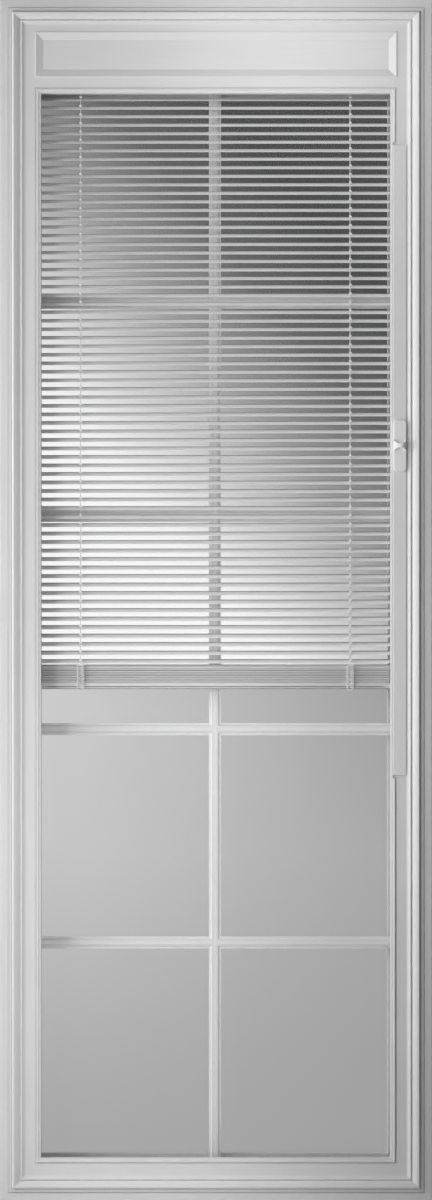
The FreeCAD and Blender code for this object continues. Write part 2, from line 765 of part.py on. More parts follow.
def bar_heights():
    return [f"({HALF_HEIGHT} - grille_top - {row} * lite_height)" for row in range(LITES_HIGH - 1)]


def make_grille():
    upright = new_body("grille_upright")
    drawn = [(across, f"{GRILLE_Y} + {depth}") for across, depth in bar_outline()]
    foot = f"clip_thickness - {CAVITY_Z}"
    pad(upright, sketch(upright, "XY_Plane", [drawn], lift=foot), f"2 * ({CAVITY_Z} - clip_thickness)")
    keep(upright)
    reach = f"({CAVITY_X} - clip_thickness)"
    for row, height in enumerate(bar_heights(), 1):
        outline = [(f"{GRILLE_Y} + {depth}", f"{height} + {across}") for across, depth in bar_outline()]
        for name, start in (("left", f"-{reach}"), ("right", "bar_field / 2")):
            blank = new_body(f"bar_blank_{name}_{row}")
            pad(blank, sketch(blank, "YZ_Plane", [outline], lift=start), f"{reach} - bar_field / 2")
            coped = doc.addObject("Part::Cut", f"grille_bar_{name}_{row}")
            coped.Base, coped.Tool = blank, upright
            keep(coped)
    make_grille_clips()


def make_grille_clips():
    """A thin clip between each end of a bar and the spacer."""
    depth = [size(f"{GRILLE_Y} {sign} bar_thickness / 2") for sign in "-+"]
    half, thin = size("bar_width / 2"), size("clip_thickness")
    edge, top = size(CAVITY_X), size(CAVITY_Z)
    clips = []
    for height in map(size, bar_heights()):
        for left in (-edge, edge - thin):
            spans = (thin, depth[1] - depth[0], 2 * half)
            clips.append(Part.makeBox(*spans, Vector(left, depth[0], height - half)))
    for low in (-top, top - thin):
        clips.append(Part.makeBox(2 * half, depth[1] - depth[0], thin, Vector(-half, depth[0], low)))
    solids("grille_clips", clips)


# Blind
def make_headrail():
    rail = new_body("headrail")
    front, back = f"({BLIND_Y} - rail_depth / 2)", f"({BLIND_Y} + rail_depth / 2)"
    channel = [
        (front, RAIL_TOP),
        (front, RAIL_LOW),
        (back, RAIL_LOW),
        (back, RAIL_TOP),
        (f"{back} - rail_wall", RAIL_TOP),
        (f"{back} - rail_wall", f"{RAIL_LOW} + rail_wall"),
        (f"{front} + rail_wall", f"{RAIL_LOW} + rail_wall"),
        (f"{front} + rail_wall", RAIL_TOP),
    ]
    pad(rail, sketch(rail, "YZ_Plane", [channel], lift=f"-{RAIL_HALF}"), f"2 * {RAIL_HALF}")
    inside = (f"{front} + rail_wall", f"{back} - rail_wall")
    slots = [rectangle(f"{x} - slot_width / 2", f"{x} + slot_width / 2", *inside)
             for x in (f"-{LADDER_X}", LADDER_X, CARRIAGE_X)]
    floor = sketch(rail, "XY_Plane", slots, lift=f"{RAIL_LOW} + rail_wall")
    pocket(rail, floor, "rail_wall")
    keep(rail)
    for name, side in (("left", -1), ("right", 1)):
        inner, outer = f"{side} * {RAIL_HALF}", f"{side} * {CAVITY_X}"
        low, high = (inner, outer) if side > 0 else (outer, inner)
        blank = slab(f"cap_blank_{name}", (low, high), (front, back), (RAIL_LOW, RAIL_TOP))
        socket = solids_tool(f"cap_socket_{name}", rod("rod_radius + rod_clearance", (inner, BLIND_Y, ROD_Z),
                             (f"{inner} + {side} * rod_socket", BLIND_Y, ROD_Z)))
        cap = doc.addObject("Part::Cut", f"headrail_cap_{name}")
        cap.Base, cap.Tool = blank, socket
        keep(cap)


def solids_tool(name, shape):
    """A solid that only cuts another."""
    made = doc.addObject("Part::Feature", name)
    made.Shape = shape
    return made


def make_tilt_gear():
    reach = f"({RAIL_HALF} + rod_socket)"
    solids("tilt_rod", [rod("rod_radius", (f"-{reach}", BLIND_Y, ROD_Z), (reach, BLIND_Y, ROD_Z))])
    for name, side in (("left", -1), ("right", 1)):
        ends = [(f"{side} * {LADDER_X} {sign} drum_width / 2", BLIND_Y, ROD_Z) for sign in "-+"]
        bore = rod("rod_radius + rod_clearance", *ends)
        solids(f"ladder_drum_{name}", [rod("drum_radius", *ends).cut(bore)])
    floor = f"{RAIL_LOW} + rail_wall"
    half = "(rail_depth / 2 - rail_wall)"
    keep(slab("corner_cord_guide", (GUIDE_LEFT, RAIL_HALF),
              (f"{BLIND_Y} - {half}", f"{BLIND_Y} + {half}"), (floor, f"{floor} + guide_height")))


def slat_solid():
    """One crowned slat, hung at the blind's tilt about its own middle."""
    half, rise, thick = (size(name) for name in ("slat_width / 2", "slat_crown", "slat_thickness"))
    low = -rise / 2
    top = [(-half, low), (0, low + rise), (half, low)]
    corners = [Vector(0, across, up) for across, up in top]
    corners += [corner - Vector(0, 0, thick) for corner in reversed(corners)]
    edges = [
        Part.Arc(*corners[:3]).toShape(),
        Part.makeLine(corners[2], corners[3]),
        Part.Arc(*corners[3:]).toShape(),
        Part.makeLine(corners[5], corners[0]),
    ]
    length = size(f"2 * {SLAT_HALF}")
    slat = Part.Face(Part.Wire(edges)).extrude(Vector(length, 0, 0))
    slat.translate(Vector(-length / 2, 0, 0))
    slat.rotate(Vector(), Vector(1, 0, 0), size("slat_tilt"))
    return slat


def make_slats():
    slat = slat_solid()
    middle, first, pitch = (size(text) for text in (BLIND_Y, FIRST_SLAT, "slat_pitch"))
    places = [Vector(0, middle, first - index * pitch) for index in range(SLATS)]
    solids("blind_slats", [slat.translated(place) for place in places])


def make_slat_stack():
    """The gathered slats, as one pack with a notch between each visible layer and the next."""
    front, back, low, notch = (size(text) for text in (SLAT_FRONT, SLAT_BACK, STACK_LOW, "stack_notch"))
    layer = size("stack_height") / STACK_LAYERS
    front_edge, back_edge = [], []
    for index in range(STACK_LAYERS):
        foot = low + index * layer
        front_edge += [(front + notch, foot), (front, foot + layer / 2)]
        back_edge += [(back - notch, foot), (back, foot + layer / 2)]
    top = low + STACK_LAYERS * layer
    outline = front_edge + [(front + notch, top), (back - notch, top)] + back_edge[::-1]
    half = size(SLAT_HALF)
    wire = Part.makePolygon([Vector(-half, across, up) for across, up in outline + outline[:1]])
    solids("slat_stack", [Part.Face(wire).extrude(Vector(2 * half, 0, 0))])


def rounded_outline(inset):
    """The bottom rail's rounded section, moved in by inset."""
    half = f"(bottom_depth / 2 - ({inset}))"
    front, back = f"({BLIND_Y} - {half})", f"({BLIND_Y} + {half})"
    foot, top = f"({BOTTOM_LOW} + {inset})", f"({BOTTOM_LOW} + bottom_height - ({inset}))"
    corner = f"(bottom_corner - ({inset}))"
    return [
        (f"{front} + {corner}", foot),
        (f"{back} - {corner}", foot, f"-{corner}"),
        (back, f"{foot} + {corner}"),
        (back, f"{top} - {corner}", f"-{corner}"),
        (f"{back} - {corner}", top),
        (f"{front} + {corner}", top, f"-{corner}"),
        (front, f"{top} - {corner}"),
        (front, f"{foot} + {corner}", f"-{corner}"),
    ]


def make_bottom_rail():
    rail = new_body("bottom_rail")
    half = f"({SLAT_HALF} - bottom_cap)"
    loops = [rounded_outline("0"), rounded_outline("bottom_wall")]
    pad(rail, sketch(rail, "YZ_Plane", loops, lift=f"-{half}"), f"2 * {half}")
    keep(rail)
    for name, side in (("left", -1), ("right", 1)):
        cap = new_body(f"bottom_rail_cap_{name}")
        start = f"{side} * {half}"
        plate = sketch(cap, "YZ_Plane", [rounded_outline("0")], lift=start)
        pad(cap, plate, "bottom_cap", side < 0)
        plug = sketch(cap, "YZ_Plane", [rounded_outline("bottom_wall + cap_clearance")], lift=start)
        pad(cap, plug, "cap_plug", side > 0)
        keep(cap)


def make_cords():
    """Ladder cords before and behind the slats, lift cords behind them, and the carriage's draw cord."""
    off = "(cord_gap + ladder_radius)"
    ladders = []
    for side in (-1, 1):
        for depth in (f"{SLAT_FRONT} - {off}", f"{SLAT_BACK} + {off}"):
            x = f"{side} * {LADDER_X}"
            foot = f"{STACK_TOP} + cord_end_gap"
            ladders.append(rod("ladder_radius", (x, depth, foot), (x, depth, RAIL_LOW)))
    solids("ladder_cords", ladders)
    behind = f"({BLIND_Y} + bottom_depth / 2 + clip_wall / 2 + cord_gap)"
    lifts, clips = [], []
    for side in (-1, 1):
        x = f"{side} * ({LADDER_X} + clip_width / 2 - cord_radius)"
        foot = f"{BOTTOM_LOW} - clip_wall + clip_height"
        lifts.append(rod("cord_radius", (x, behind, foot), (x, behind, RAIL_LOW)))
        clips.append(cord_clip(side))
    solids("lift_cords", lifts)
    solids("cord_clips", clips)
    low, high = f"{HANDLE_Z} + carriage_length / 2", f"{RAIL_LOW} + rail_wall"
    draws = [f"{CARRIAGE_X} {sign} draw_spread / 2" for sign in "-+"]
    solids("draw_cord", [rod("cord_radius", (x, BLIND_Y, low), (x, BLIND_Y, high)) for x in draws])
    level = f"{RAIL_LOW} + rail_wall + cord_gap + cord_radius"
    runs = ((-1, f"{BLIND_Y} - rail_depth / 4"), (1, f"{BLIND_Y} + rail_depth / 4"))
    solids("headrail_cords", [
        rod("cord_radius", (f"{side} * {LADDER_X}", depth, level), (GUIDE_LEFT, depth, level))
        for side, depth in runs
    ])


def cord_clip(side):
    """A clip under the bottom rail with a lug up its back, where the lift cord ends."""
    left = size(f"{side} * {LADDER_X} - clip_width / 2")
    back = size(f"{BLIND_Y} + bottom_depth / 2")
    low = size(f"{BOTTOM_LOW} - clip_wall")
    width, wall, height, gap = (size(name) for name in ("clip_width", "clip_wall", "clip_height", "cord_gap"))
    foot = Part.makeBox(width, width + wall + gap, wall, Vector(left, back - width, low))
    lug = Part.makeBox(width, wall, height, Vector(left, back + gap, low))
    return foot.fuse(lug).removeSplitter()


def make_carriage():
    guide = new_body("carriage_guide")
    left, right = f"({CAVITY_X} - channel_reach)", CAVITY_X
    front, back = f"({BLIND_FRONT} + channel_inset)", f"({PANE_2} - channel_inset)"
    channel = [
        (right, front),
        (right, back),
        (left, back),
        (left, f"{back} - channel_wall - channel_lip"),
        (f"{left} + channel_wall", f"{back} - channel_wall - channel_lip"),
        (f"{left} + channel_wall", f"{back} - channel_wall"),
        (f"{right} - channel_back", f"{back} - channel_wall"),
        (f"{right} - channel_back", f"{front} + channel_wall"),
        (f"{left} + channel_wall", f"{front} + channel_wall"),
        (f"{left} + channel_wall", f"{front} + channel_wall + channel_lip"),
        (left, f"{front} + channel_wall + channel_lip"),
        (left, front),
    ]
    start = f"{RAIL_LOW} - channel_top - channel_length"
    pad(guide, sketch(guide, "XY_Plane", [channel], lift=start), "channel_length")
    keep(guide)
    half = "carriage_length / 2"
    blank = slab("carriage_blank", (CARRIAGE_LEFT, CARRIAGE_RIGHT), (CARRIAGE_FRONT, CARRIAGE_BACK),
                 (f"{HANDLE_Z} - {half}", f"{HANDLE_Z} + {half}"))
    grown = magnet_outline("magnet_clearance", CARRIAGE_X)
    depth = (CARRIAGE_FRONT, f"{CARRIAGE_FRONT} + magnet_thickness")
    recess = slab("carriage_recess", grown[:2], depth, grown[2:])
    carriage = doc.addObject("Part::Cut", "inner_carriage")
    carriage.Base, carriage.Tool = blank, recess
    keep(carriage)
    exact = magnet_outline("0", CARRIAGE_X)
    keep(slab("carriage_magnet", exact[:2], depth, exact[2:]))


make_interior_frame()
make_exterior_frame()
make_screws()
make_bead_trims()
make_header_cover()
make_track()
make_handle()
make_handle_magnet()
make_glass_unit()
make_grille()
make_headrail()
make_tilt_gear()
make_slats()
make_slat_stack()
make_bottom_rail()
make_cords()
make_carriage()
doc.recompute()

for made in doc.Objects:
    if "Invalid" in made.State or "Error" in made.State:
        raise RuntimeError(f"{made.Label} failed to build: {made.State}")
for piece in pieces:
    if piece.Shape.isNull() or not piece.Shape.isValid() or not piece.Shape.Solids:
        raise RuntimeError(f"{piece.Label} has no valid solid")

os.makedirs("parts", exist_ok=True)
for piece in pieces:
    piece.Shape.exportStep(f"parts/{piece.Label}.step")
    print(piece.Label, len(piece.Shape.Solids), round(piece.Shape.Volume))
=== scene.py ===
# %% [markdown]
# # A door glass insert with a blind and a grille between its panes
# This lesson dresses a glazed insert for a house door. The solid parts come ready made, so most of the
# work here is finishes, the hanging blind with its strings, and light that shows the moulded frame. A
# ray through the three panes meets six clear surfaces on its way in and up to six more towards a lamp,
# so the limit on such surfaces is raised.

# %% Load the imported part
import math
import random

import bmesh
import bpy
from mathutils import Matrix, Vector


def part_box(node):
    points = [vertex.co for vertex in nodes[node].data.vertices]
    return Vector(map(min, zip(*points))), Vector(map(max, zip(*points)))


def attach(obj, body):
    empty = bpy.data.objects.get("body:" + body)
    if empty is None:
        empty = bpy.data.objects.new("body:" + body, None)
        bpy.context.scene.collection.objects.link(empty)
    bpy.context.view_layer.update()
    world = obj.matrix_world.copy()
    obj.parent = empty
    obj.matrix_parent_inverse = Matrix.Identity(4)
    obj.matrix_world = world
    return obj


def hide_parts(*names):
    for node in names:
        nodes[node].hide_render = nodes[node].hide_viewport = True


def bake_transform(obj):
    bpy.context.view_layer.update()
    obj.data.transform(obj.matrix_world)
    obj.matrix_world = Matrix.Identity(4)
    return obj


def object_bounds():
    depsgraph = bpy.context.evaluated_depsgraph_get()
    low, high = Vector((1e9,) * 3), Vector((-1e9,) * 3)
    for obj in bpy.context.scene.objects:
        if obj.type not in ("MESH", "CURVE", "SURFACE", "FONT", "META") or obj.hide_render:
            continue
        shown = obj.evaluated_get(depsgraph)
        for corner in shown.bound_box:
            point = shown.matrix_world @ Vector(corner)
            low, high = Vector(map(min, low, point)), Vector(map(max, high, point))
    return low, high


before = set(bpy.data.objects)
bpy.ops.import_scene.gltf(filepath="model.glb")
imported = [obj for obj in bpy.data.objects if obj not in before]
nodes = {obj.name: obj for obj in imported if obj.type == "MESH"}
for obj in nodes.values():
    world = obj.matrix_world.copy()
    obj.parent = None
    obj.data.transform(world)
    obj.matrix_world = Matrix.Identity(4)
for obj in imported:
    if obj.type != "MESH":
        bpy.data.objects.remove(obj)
solid_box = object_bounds()
CLEAR_SURFACES = 32
scene = bpy.context.scene
scene.view_settings.view_transform = "Standard"
scene.cycles.transparent_max_bounces = CLEAR_SURFACES
print("pieces loaded:", len(nodes), "box:", [tuple(round(v, 4) for v in corner) for corner in solid_box])

# %% [markdown]
# ## Writing shader maths as plain Python
# A finish is a small network of nodes. Wiring it by hand takes many lines, so one class holds an output
# socket and lets + - * / add the Math nodes. Everything else, from noise to the final shader, comes
# from its node method.


# %% A wire that does arithmetic
class Wire:
    """An output socket of a finish. Arithmetic on it adds Math nodes, also with a number on the left."""

    def __init__(self, tree, socket=None):
        self.tree = tree
        self.socket = socket

    def node(self, kind, settings=None, sockets=None, output=0):
        """Adds a node with its settings and the values or wires of its sockets, and returns one output."""
        made = self.tree.nodes.new(kind)
        for name, value in (settings or {}).items():
            if name == "stops":
                self.set_stops(made.color_ramp.elements, value)
            else:
                setattr(made, name, value)
        for name, value in (sockets or {}).items():
            if isinstance(value, Wire):
                self.tree.links.new(value.socket, made.inputs[name])
            else:
                made.inputs[name].default_value = value
        return Wire(self.tree, made.outputs[output] if made.outputs else None)

    def set_stops(self, elements, stops):
        while len(elements) > 1:
            elements.remove(elements[-1])
        elements[0].position, elements[0].color = stops[0]
        for place, colour in stops[1:]:
            elements.new(place).color = colour

    def out(self, name):
        """Another output of the same node."""
        return Wire(self.tree, self.socket.node.outputs[name])

    def maths(self, operation, *values):
        return self.node("ShaderNodeMath", {"operation": operation}, dict(enumerate(values)))

    def __add__(self, other):
        return self.maths("ADD", self, other)

    __radd__ = __add__

    def __sub__(self, other):
        return self.maths("SUBTRACT", self, other)

    def __rsub__(self, other):
        return self.maths("SUBTRACT", other, self)

    def __mul__(self, other):
        return self.maths("MULTIPLY", self, other)

    __rmul__ = __mul__

    def __truediv__(self, other):
        return self.maths("DIVIDE", self, other)

    def __rtruediv__(self, other):
        return self.maths("DIVIDE", other, self)

    def __abs__(self):
        return self.maths("ABSOLUTE", self)


print("wire class ready")


# %% Helpers for finishes
def grey(level, warm=0.0):
    """A nearly neutral colour, a touch warm where the material is."""
    return (level * (1 + warm), level, level * (1 - warm), 1.0)


def new_finish(name):
    material = bpy.data.materials.new(name)
    material.use_nodes = True
    material.node_tree.nodes.clear()
    return material, Wire(material.node_tree)


def close_finish(wire, **sockets):
    """The shader itself. Underscores stand for the spaces in its socket names."""
    named = {name.replace("_", " "): value for name, value in sockets.items()}
    shader = wire.node("ShaderNodeBsdfPrincipled", sockets=named)
    wire.node("ShaderNodeOutputMaterial", sockets={"Surface": shader})


def mixed(wire, mask, low, high):
    """A colour between two others, which are sockets 6 and 7 of the node."""
    return wire.node("ShaderNodeMix", {"data_type": "RGBA"}, {0: mask, 6: low, 7: high}, output=2)


def held_between(wire, value, low, high):
    return wire.maths("MINIMUM", wire.maths("MAXIMUM", value, low), high)


def noise(wire, place, scale, detail=3.0, roughness=0.55):
    return wire.node("ShaderNodeTexNoise", sockets={"Vector": place, "Scale": scale, "Detail": detail,
                                                    "Roughness": roughness})


def stretched(wire, place, scales):
    """The same point on stretched axes, so that a noise turns into streaks."""
    return wire.node("ShaderNodeVectorMath", {"operation": "MULTIPLY"}, {0: place, 1: scales})


def bumped(wire, height, strength, depth):
    return wire.node("ShaderNodeBump", sockets={"Strength": strength, "Distance": depth, "Height": height})


def object_point(wire):
    return wire.node("ShaderNodeTexCoord", output="Object")


print("shader helpers ready")

# %% [markdown]
# ## White moulded plastic
# The two frames, the snap-in beads and the header cover are white moulded plastic with a fine drawn
# grain that runs along each member and turns at the mitres. A picture texture would need unwrapping, so
# the grain is a noise stretched along the member, and a mask picks the stile or the rail from the
# distance to the outer edge. Painted shade darkens the narrow grooves of the rails more than those of
# the stiles, while a painted light whitens the shaded valley beside the beads. The same distance places
# these lines, so they follow the frame all round.

# %% Measures of the frame
HALF_WIDTH = solid_box[1].x
HALF_HEIGHT = solid_box[1].z
# Places on the section, measured in from its outer edge, and half the width of the lines there.
QUIRK = 0.0120
TRIM_OUTER = 0.0170
VALLEY = 0.0294
VALLEY_HALF = 0.0018
GROOVE_HALF = 0.0009
print("frame half size", round(HALF_WIDTH, 4), round(HALF_HEIGHT, 4), "grooves at", QUIRK, TRIM_OUTER)

# %% Frame plastic
GRAIN_ACROSS = 800.0
GRAIN_ALONG = 11.0
GRAIN_SHARE = 0.65
TONE_DOWN = 0.09
TONE_UP = 0.08
VALLEY_PAINTED_LIGHT = grey(0.97)
VALLEY_LIGHT_SHARE = 0.9
FRAME_GROOVE_SHADE = grey(0.2)
STILES_LESS_SHADE = 0.75


def member_grain(wire):
    """The grain along the member, the distance in from the outer edge, the point and the mask of stiles."""
    place = object_point(wire)
    split = wire.node("ShaderNodeSeparateXYZ", sockets={"Vector": place})
    from_side = HALF_WIDTH - abs(split)
    from_end = HALF_HEIGHT - abs(split.out("Z"))
    is_stile = wire.maths("LESS_THAN", from_side, from_end)
    on_rail = (GRAIN_ALONG, GRAIN_ACROSS, GRAIN_ACROSS)
    on_stile = (GRAIN_ACROSS, GRAIN_ACROSS, GRAIN_ALONG)
    choice = {0: is_stile, 4: on_rail, 5: on_stile}
    scales = wire.node("ShaderNodeMix", {"data_type": "VECTOR"}, choice, output=1)
    grain = noise(wire, stretched(wire, place, scales), scale=1.0, detail=4.0, roughness=0.6)
    return grain, wire.maths("MINIMUM", from_side, from_end), place, is_stile


def soft_line(wire, inset, place, half_width):
    """A soft line along the member where the section has a narrow groove."""
    return wire.maths("MAXIMUM", 1 - abs(inset - place) / half_width, 0.0)


def moulded_plastic(name, level, shine, grain_depth, grooves):
    material, wire = new_finish(name)
    grain, inset, place, is_stile = member_grain(wire)
    cloud = noise(wire, place, scale=9.0, detail=2.0)
    tone = GRAIN_SHARE * grain + (1 - GRAIN_SHARE) * cloud
    plastic_colour = mixed(wire, tone, grey(level - TONE_DOWN), grey(level + TONE_UP))
    # Painted light: the shaded valley beside the beads is whitened.
    valley_light = VALLEY_LIGHT_SHARE * soft_line(wire, inset, VALLEY, VALLEY_HALF)
    plastic_colour = mixed(wire, valley_light, plastic_colour, VALLEY_PAINTED_LIGHT)
    # Painted shade along the narrow grooves, weaker on the stiles.
    groove_shade = sum(strength * soft_line(wire, inset, groove, GROOVE_HALF) for groove, strength in grooves)
    close_finish(wire,
                 Base_Color=mixed(wire, groove_shade * (1 - STILES_LESS_SHADE * is_stile), plastic_colour, FRAME_GROOVE_SHADE),
                 Roughness=shine + 0.16 * (grain - 0.5),
                 Normal=bumped(wire, grain, strength=0.35, depth=grain_depth),
                 IOR=1.46)
    return material


# Painted shade lines at the quirk and at the outer edge of the beads.
frame_plastic = moulded_plastic("white_frame_plastic", level=0.79, shine=0.42, grain_depth=0.00018,
                                grooves=((QUIRK, 0.5), (TRIM_OUTER, 0.5)))
trim_plastic = moulded_plastic("white_trim_plastic", level=0.80, shine=0.40, grain_depth=0.00014,
                               grooves=((TRIM_OUTER, 0.5),))
print("plastics:", frame_plastic.name, trim_plastic.name)

# %% [markdown]
# ## Track, handle and nylon
# The track plate and the sliding handle are plainer plastic with the even fine grain of a spark-eroded
# mould, and the nylon parts inside are a little milky. Each could have a network of its own, but they
# differ only in level, gloss, grain and warmth, so one recipe makes all three.


# %% Fine grained plastic
def grained_plastic(name, level, shine, grain_scale, depth, warm=0.0):
    material, wire = new_finish(name)
    place = object_point(wire)
    grain = noise(wire, place, grain_scale, detail=2.0)
    cloud = noise(wire, place, scale=14.0, detail=3.0)
    close_finish(wire,
                 Base_Color=mixed(wire, cloud, grey(level - 0.035, warm), grey(level + 0.03, warm)),
                 Roughness=shine + 0.14 * (grain - 0.5),
                 Normal=bumped(wire, grain, strength=0.3, depth=depth),
                 IOR=1.48)
    return material


track_plastic = grained_plastic("satin_track_plastic", level=0.80, shine=0.46,
                                grain_scale=1500.0, depth=0.00008)
handle_plastic = grained_plastic("satin_handle_plastic", level=0.89, shine=0.40,
                                 grain_scale=1800.0, depth=0.00006)
nylon = grained_plastic("milky_nylon", level=0.72, shine=0.36,
                        grain_scale=900.0, depth=0.00005, warm=0.01)
print("grained plastics:", track_plastic.name, handle_plastic.name, nylon.name)

# %% [markdown]
# ## Painted metal of the blind and the grille
# The slats, both rails and the grille bars are rolled aluminium with baked enamel. Enamel has a faint
# orange peel, and rolling leaves long soft streaks, so both are noises, one round and one stretched
# along the strip. The bottom rail also has painted shade in the groove of its face and along its foot,
# and the bars along two shallow creases. Painting that by hand would be slow work on every piece, so a
# height or a distance to the side places it. On a slat a painted shade lies where the strip is nearly
# level, along its back half, where the slat above shades it, so the direction of the surface gives the
# mask.

# %% Baked enamel
ROLLED_SCALES = {"X": (6.0, 420.0, 420.0), "Z": (420.0, 420.0, 6.0)}
CROSSING = {"X": "Z", "Z": "X"}
ENAMEL_GROOVE_SHADE = grey(0.06)
SLAT_BACK_SHADE = grey(0.22)
LEVEL_FROM = 0.90
LEVEL_SPAN = 0.06


def baked_enamel(name, level, shine, along, grooves=(), level_shade=0.0):
    """Enamel on a strip along X or Z, with painted shade in its grooves and, by level_shade, where it lies
    level.
    """
    material, wire = new_finish(name)
    place = object_point(wire)
    rolling = noise(wire, stretched(wire, place, ROLLED_SCALES[along]), scale=1.0, detail=2.0)
    peel = noise(wire, place, scale=700.0, detail=1.0)
    offset = wire.node("ShaderNodeSeparateXYZ", sockets={"Vector": place}, output=CROSSING[along])
    colour = mixed(wire, rolling, grey(level - 0.03), grey(level + 0.03))
    for groove, strength in grooves:
        colour = mixed(wire, strength * soft_line(wire, offset, groove, GROOVE_HALF), colour, ENAMEL_GROOVE_SHADE)
    # Painted shade on the nearly level back half of each slat, where the slat above shades it.
    if level_shade:
        normal = wire.node("ShaderNodeNewGeometry", output="Normal")
        upward = wire.node("ShaderNodeSeparateXYZ", sockets={"Vector": normal}, output="Z")
        nearly_level = held_between(wire, (upward - LEVEL_FROM) / LEVEL_SPAN, 0.0, 1.0)
        colour = mixed(wire, level_shade * nearly_level, colour, SLAT_BACK_SHADE)
    close_finish(wire,
                 Base_Color=colour,
                 Roughness=shine + 0.12 * (rolling - 0.5),
                 Normal=bumped(wire, peel, strength=0.12, depth=0.00005),
                 IOR=1.5)
    return material


slat_enamel = baked_enamel("slat_enamel", level=0.90, shine=0.34, along="X", level_shade=0.75)
# The gathered slats take the slats' enamel painted darker, a painted shade of the nested bundles.
shaded_stack_enamel = baked_enamel("shaded_stack_enamel", level=0.74, shine=0.36, along="X")
rail_enamel = baked_enamel("rail_enamel", level=0.74, shine=0.36, along="X")
print("plain enamels:", slat_enamel.name, shaded_stack_enamel.name, rail_enamel.name)

# %% Enamels with grooves
FACE_GROOVE = 0.0034
FOOT_LINE = 0.0004
RAIL_LINE_SHADE = 0.8
BAR_ROWS = 4
# Painted shade along two creases of each bar, darker on the lower one; on the upright darker on its right.
BAR_CREASES = ((0.31, 0.28), (0.69, 0.12))
UPRIGHT_CREASES = ((-0.0032, 0.14), (0.0032, 0.24))
rail_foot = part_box("bottom_rail")[0].z
# Painted shade lines along the rail's face groove and along its foot.
foot_grooves = [(rail_foot + up, RAIL_LINE_SHADE) for up in (FACE_GROOVE, FOOT_LINE)]
bar_grooves = []
for row in range(1, BAR_ROWS + 1):
    low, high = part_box(f"grille_bar_left_{row}")
    bar_grooves += [(low.z + share * (high.z - low.z), strength) for share, strength in BAR_CREASES]
foot_enamel = baked_enamel("bottom_rail_enamel", level=0.70, shine=0.36, along="X", grooves=foot_grooves)
bar_enamel = baked_enamel("grille_bar_enamel", level=0.81, shine=0.38, along="X", grooves=bar_grooves)
upright_enamel = baked_enamel("grille_upright_enamel", level=0.81, shine=0.38, along="Z",
                              grooves=UPRIGHT_CREASES)
print("grooved enamels:", foot_enamel.name, bar_enamel.name, upright_enamel.name)

# %% [markdown]
# ## Glass, seals, bare metal and cord
# The panes stay clear. A refracting glass would slow the render for very little, because a flat pane
# hardly bends the view, so this shader lets nearly all of the light straight through and keeps a faint
# film. The seals and rubber blocks are dull and dark, and the foam tape is a paler grey. The spacers
# are brushed aluminium, and the cords are braid with a tight twill; the knots and the slack strands
# take the same braid painted lighter, a painted highlight.

# %% Clear and dull finishes
FILM_THIN = (0.24, 0.27, 0.26, 1.0)
FILM_THICK = (0.32, 0.35, 0.34, 1.0)
PANE_COVER = 0.015


def clear_glass(name):
    material, wire = new_finish(name)
    place = object_point(wire)
    film = noise(wire, place, scale=5.0, detail=3.0)
    close_finish(wire,
                 Base_Color=mixed(wire, film, FILM_THIN, FILM_THICK),
                 Roughness=0.03 + 0.04 * film,
                 Alpha=PANE_COVER,
                 IOR=1.52)
    return material


def dull_seal(name, level, scale):
    material, wire = new_finish(name)
    lumps = noise(wire, object_point(wire), scale, detail=4.0, roughness=0.65)
    close_finish(wire,
                 Base_Color=mixed(wire, lumps, grey(level * 0.7), grey(level * 1.3)),
                 Roughness=0.62 + 0.25 * lumps,
                 Normal=bumped(wire, lumps, strength=0.4, depth=0.0003),
                 IOR=1.45)
    return material


pane_glass = clear_glass("pane_glass")
seal_black = dull_seal("butyl_seal", level=0.05, scale=300.0)
tape_grey = dull_seal("foam_tape", level=0.66, scale=500.0)
rubber = dull_seal("block_rubber", level=0.04, scale=400.0)
print("clear and dull finishes:", pane_glass.name, seal_black.name, tape_grey.name, rubber.name)


# %% Metal and cord
def bare_metal(name, level, shine, scales):
    material, wire = new_finish(name)
    brushing = noise(wire, stretched(wire, object_point(wire), scales), scale=1.0, detail=3.0)
    close_finish(wire,
                 Base_Color=mixed(wire, brushing, grey(level * 0.85), grey(level * 1.08)),
                 Roughness=shine + 0.2 * (brushing - 0.5),
                 Normal=bumped(wire, brushing, strength=0.2, depth=0.0001),
                 Metallic=1.0)
    return material


def braided_cord(name, level):
    material, wire = new_finish(name)
    place = object_point(wire)
    twill = wire.node("ShaderNodeTexWave", {"bands_direction": "DIAGONAL"},
                      {"Vector": place, "Scale": 700.0, "Distortion": 1.5, "Detail": 1.0}, output="Fac")
    fuzz = noise(wire, place, scale=2600.0, detail=2.0)
    close_finish(wire,
                 Base_Color=mixed(wire, 0.7 * twill + 0.3 * fuzz, grey(level - 0.1), grey(level + 0.06)),
                 Roughness=0.72 + 0.2 * fuzz,
                 Normal=bumped(wire, twill, strength=0.5, depth=0.0002),
                 Sheen_Weight=0.25)
    return material


spacer_metal = bare_metal("spacer_aluminium", level=0.55, shine=0.38, scales=(30.0, 900.0, 30.0))
screw_steel = bare_metal("zinc_screw", level=0.6, shine=0.32, scales=(500.0, 500.0, 500.0))
rod_steel = bare_metal("bright_rod", level=0.55, shine=0.28, scales=(8.0, 700.0, 700.0))
magnet_metal = bare_metal("magnet_plating", level=0.45, shine=0.3, scales=(300.0, 300.0, 300.0))
cord_braid = braided_cord("cord_braid", level=0.70)
# The same braid painted lighter for the knots and the slack strands, a painted highlight.
lit_knot_braid = braided_cord("lit_knot_braid", level=0.97)
print("metals 4, cords:", cord_braid.name, lit_knot_braid.name)

# %% [markdown]
# ## Dressing the solid pieces
# Each solid keeps its shape and takes the finish that its record names. They could be dressed one by
# one, but a table from slot to finish does it in one pass. The foam tapes touch the glass face to face,
# and two faces in one place can flicker, so a modifier draws each tape in by less than a tenth of a
# millimetre.

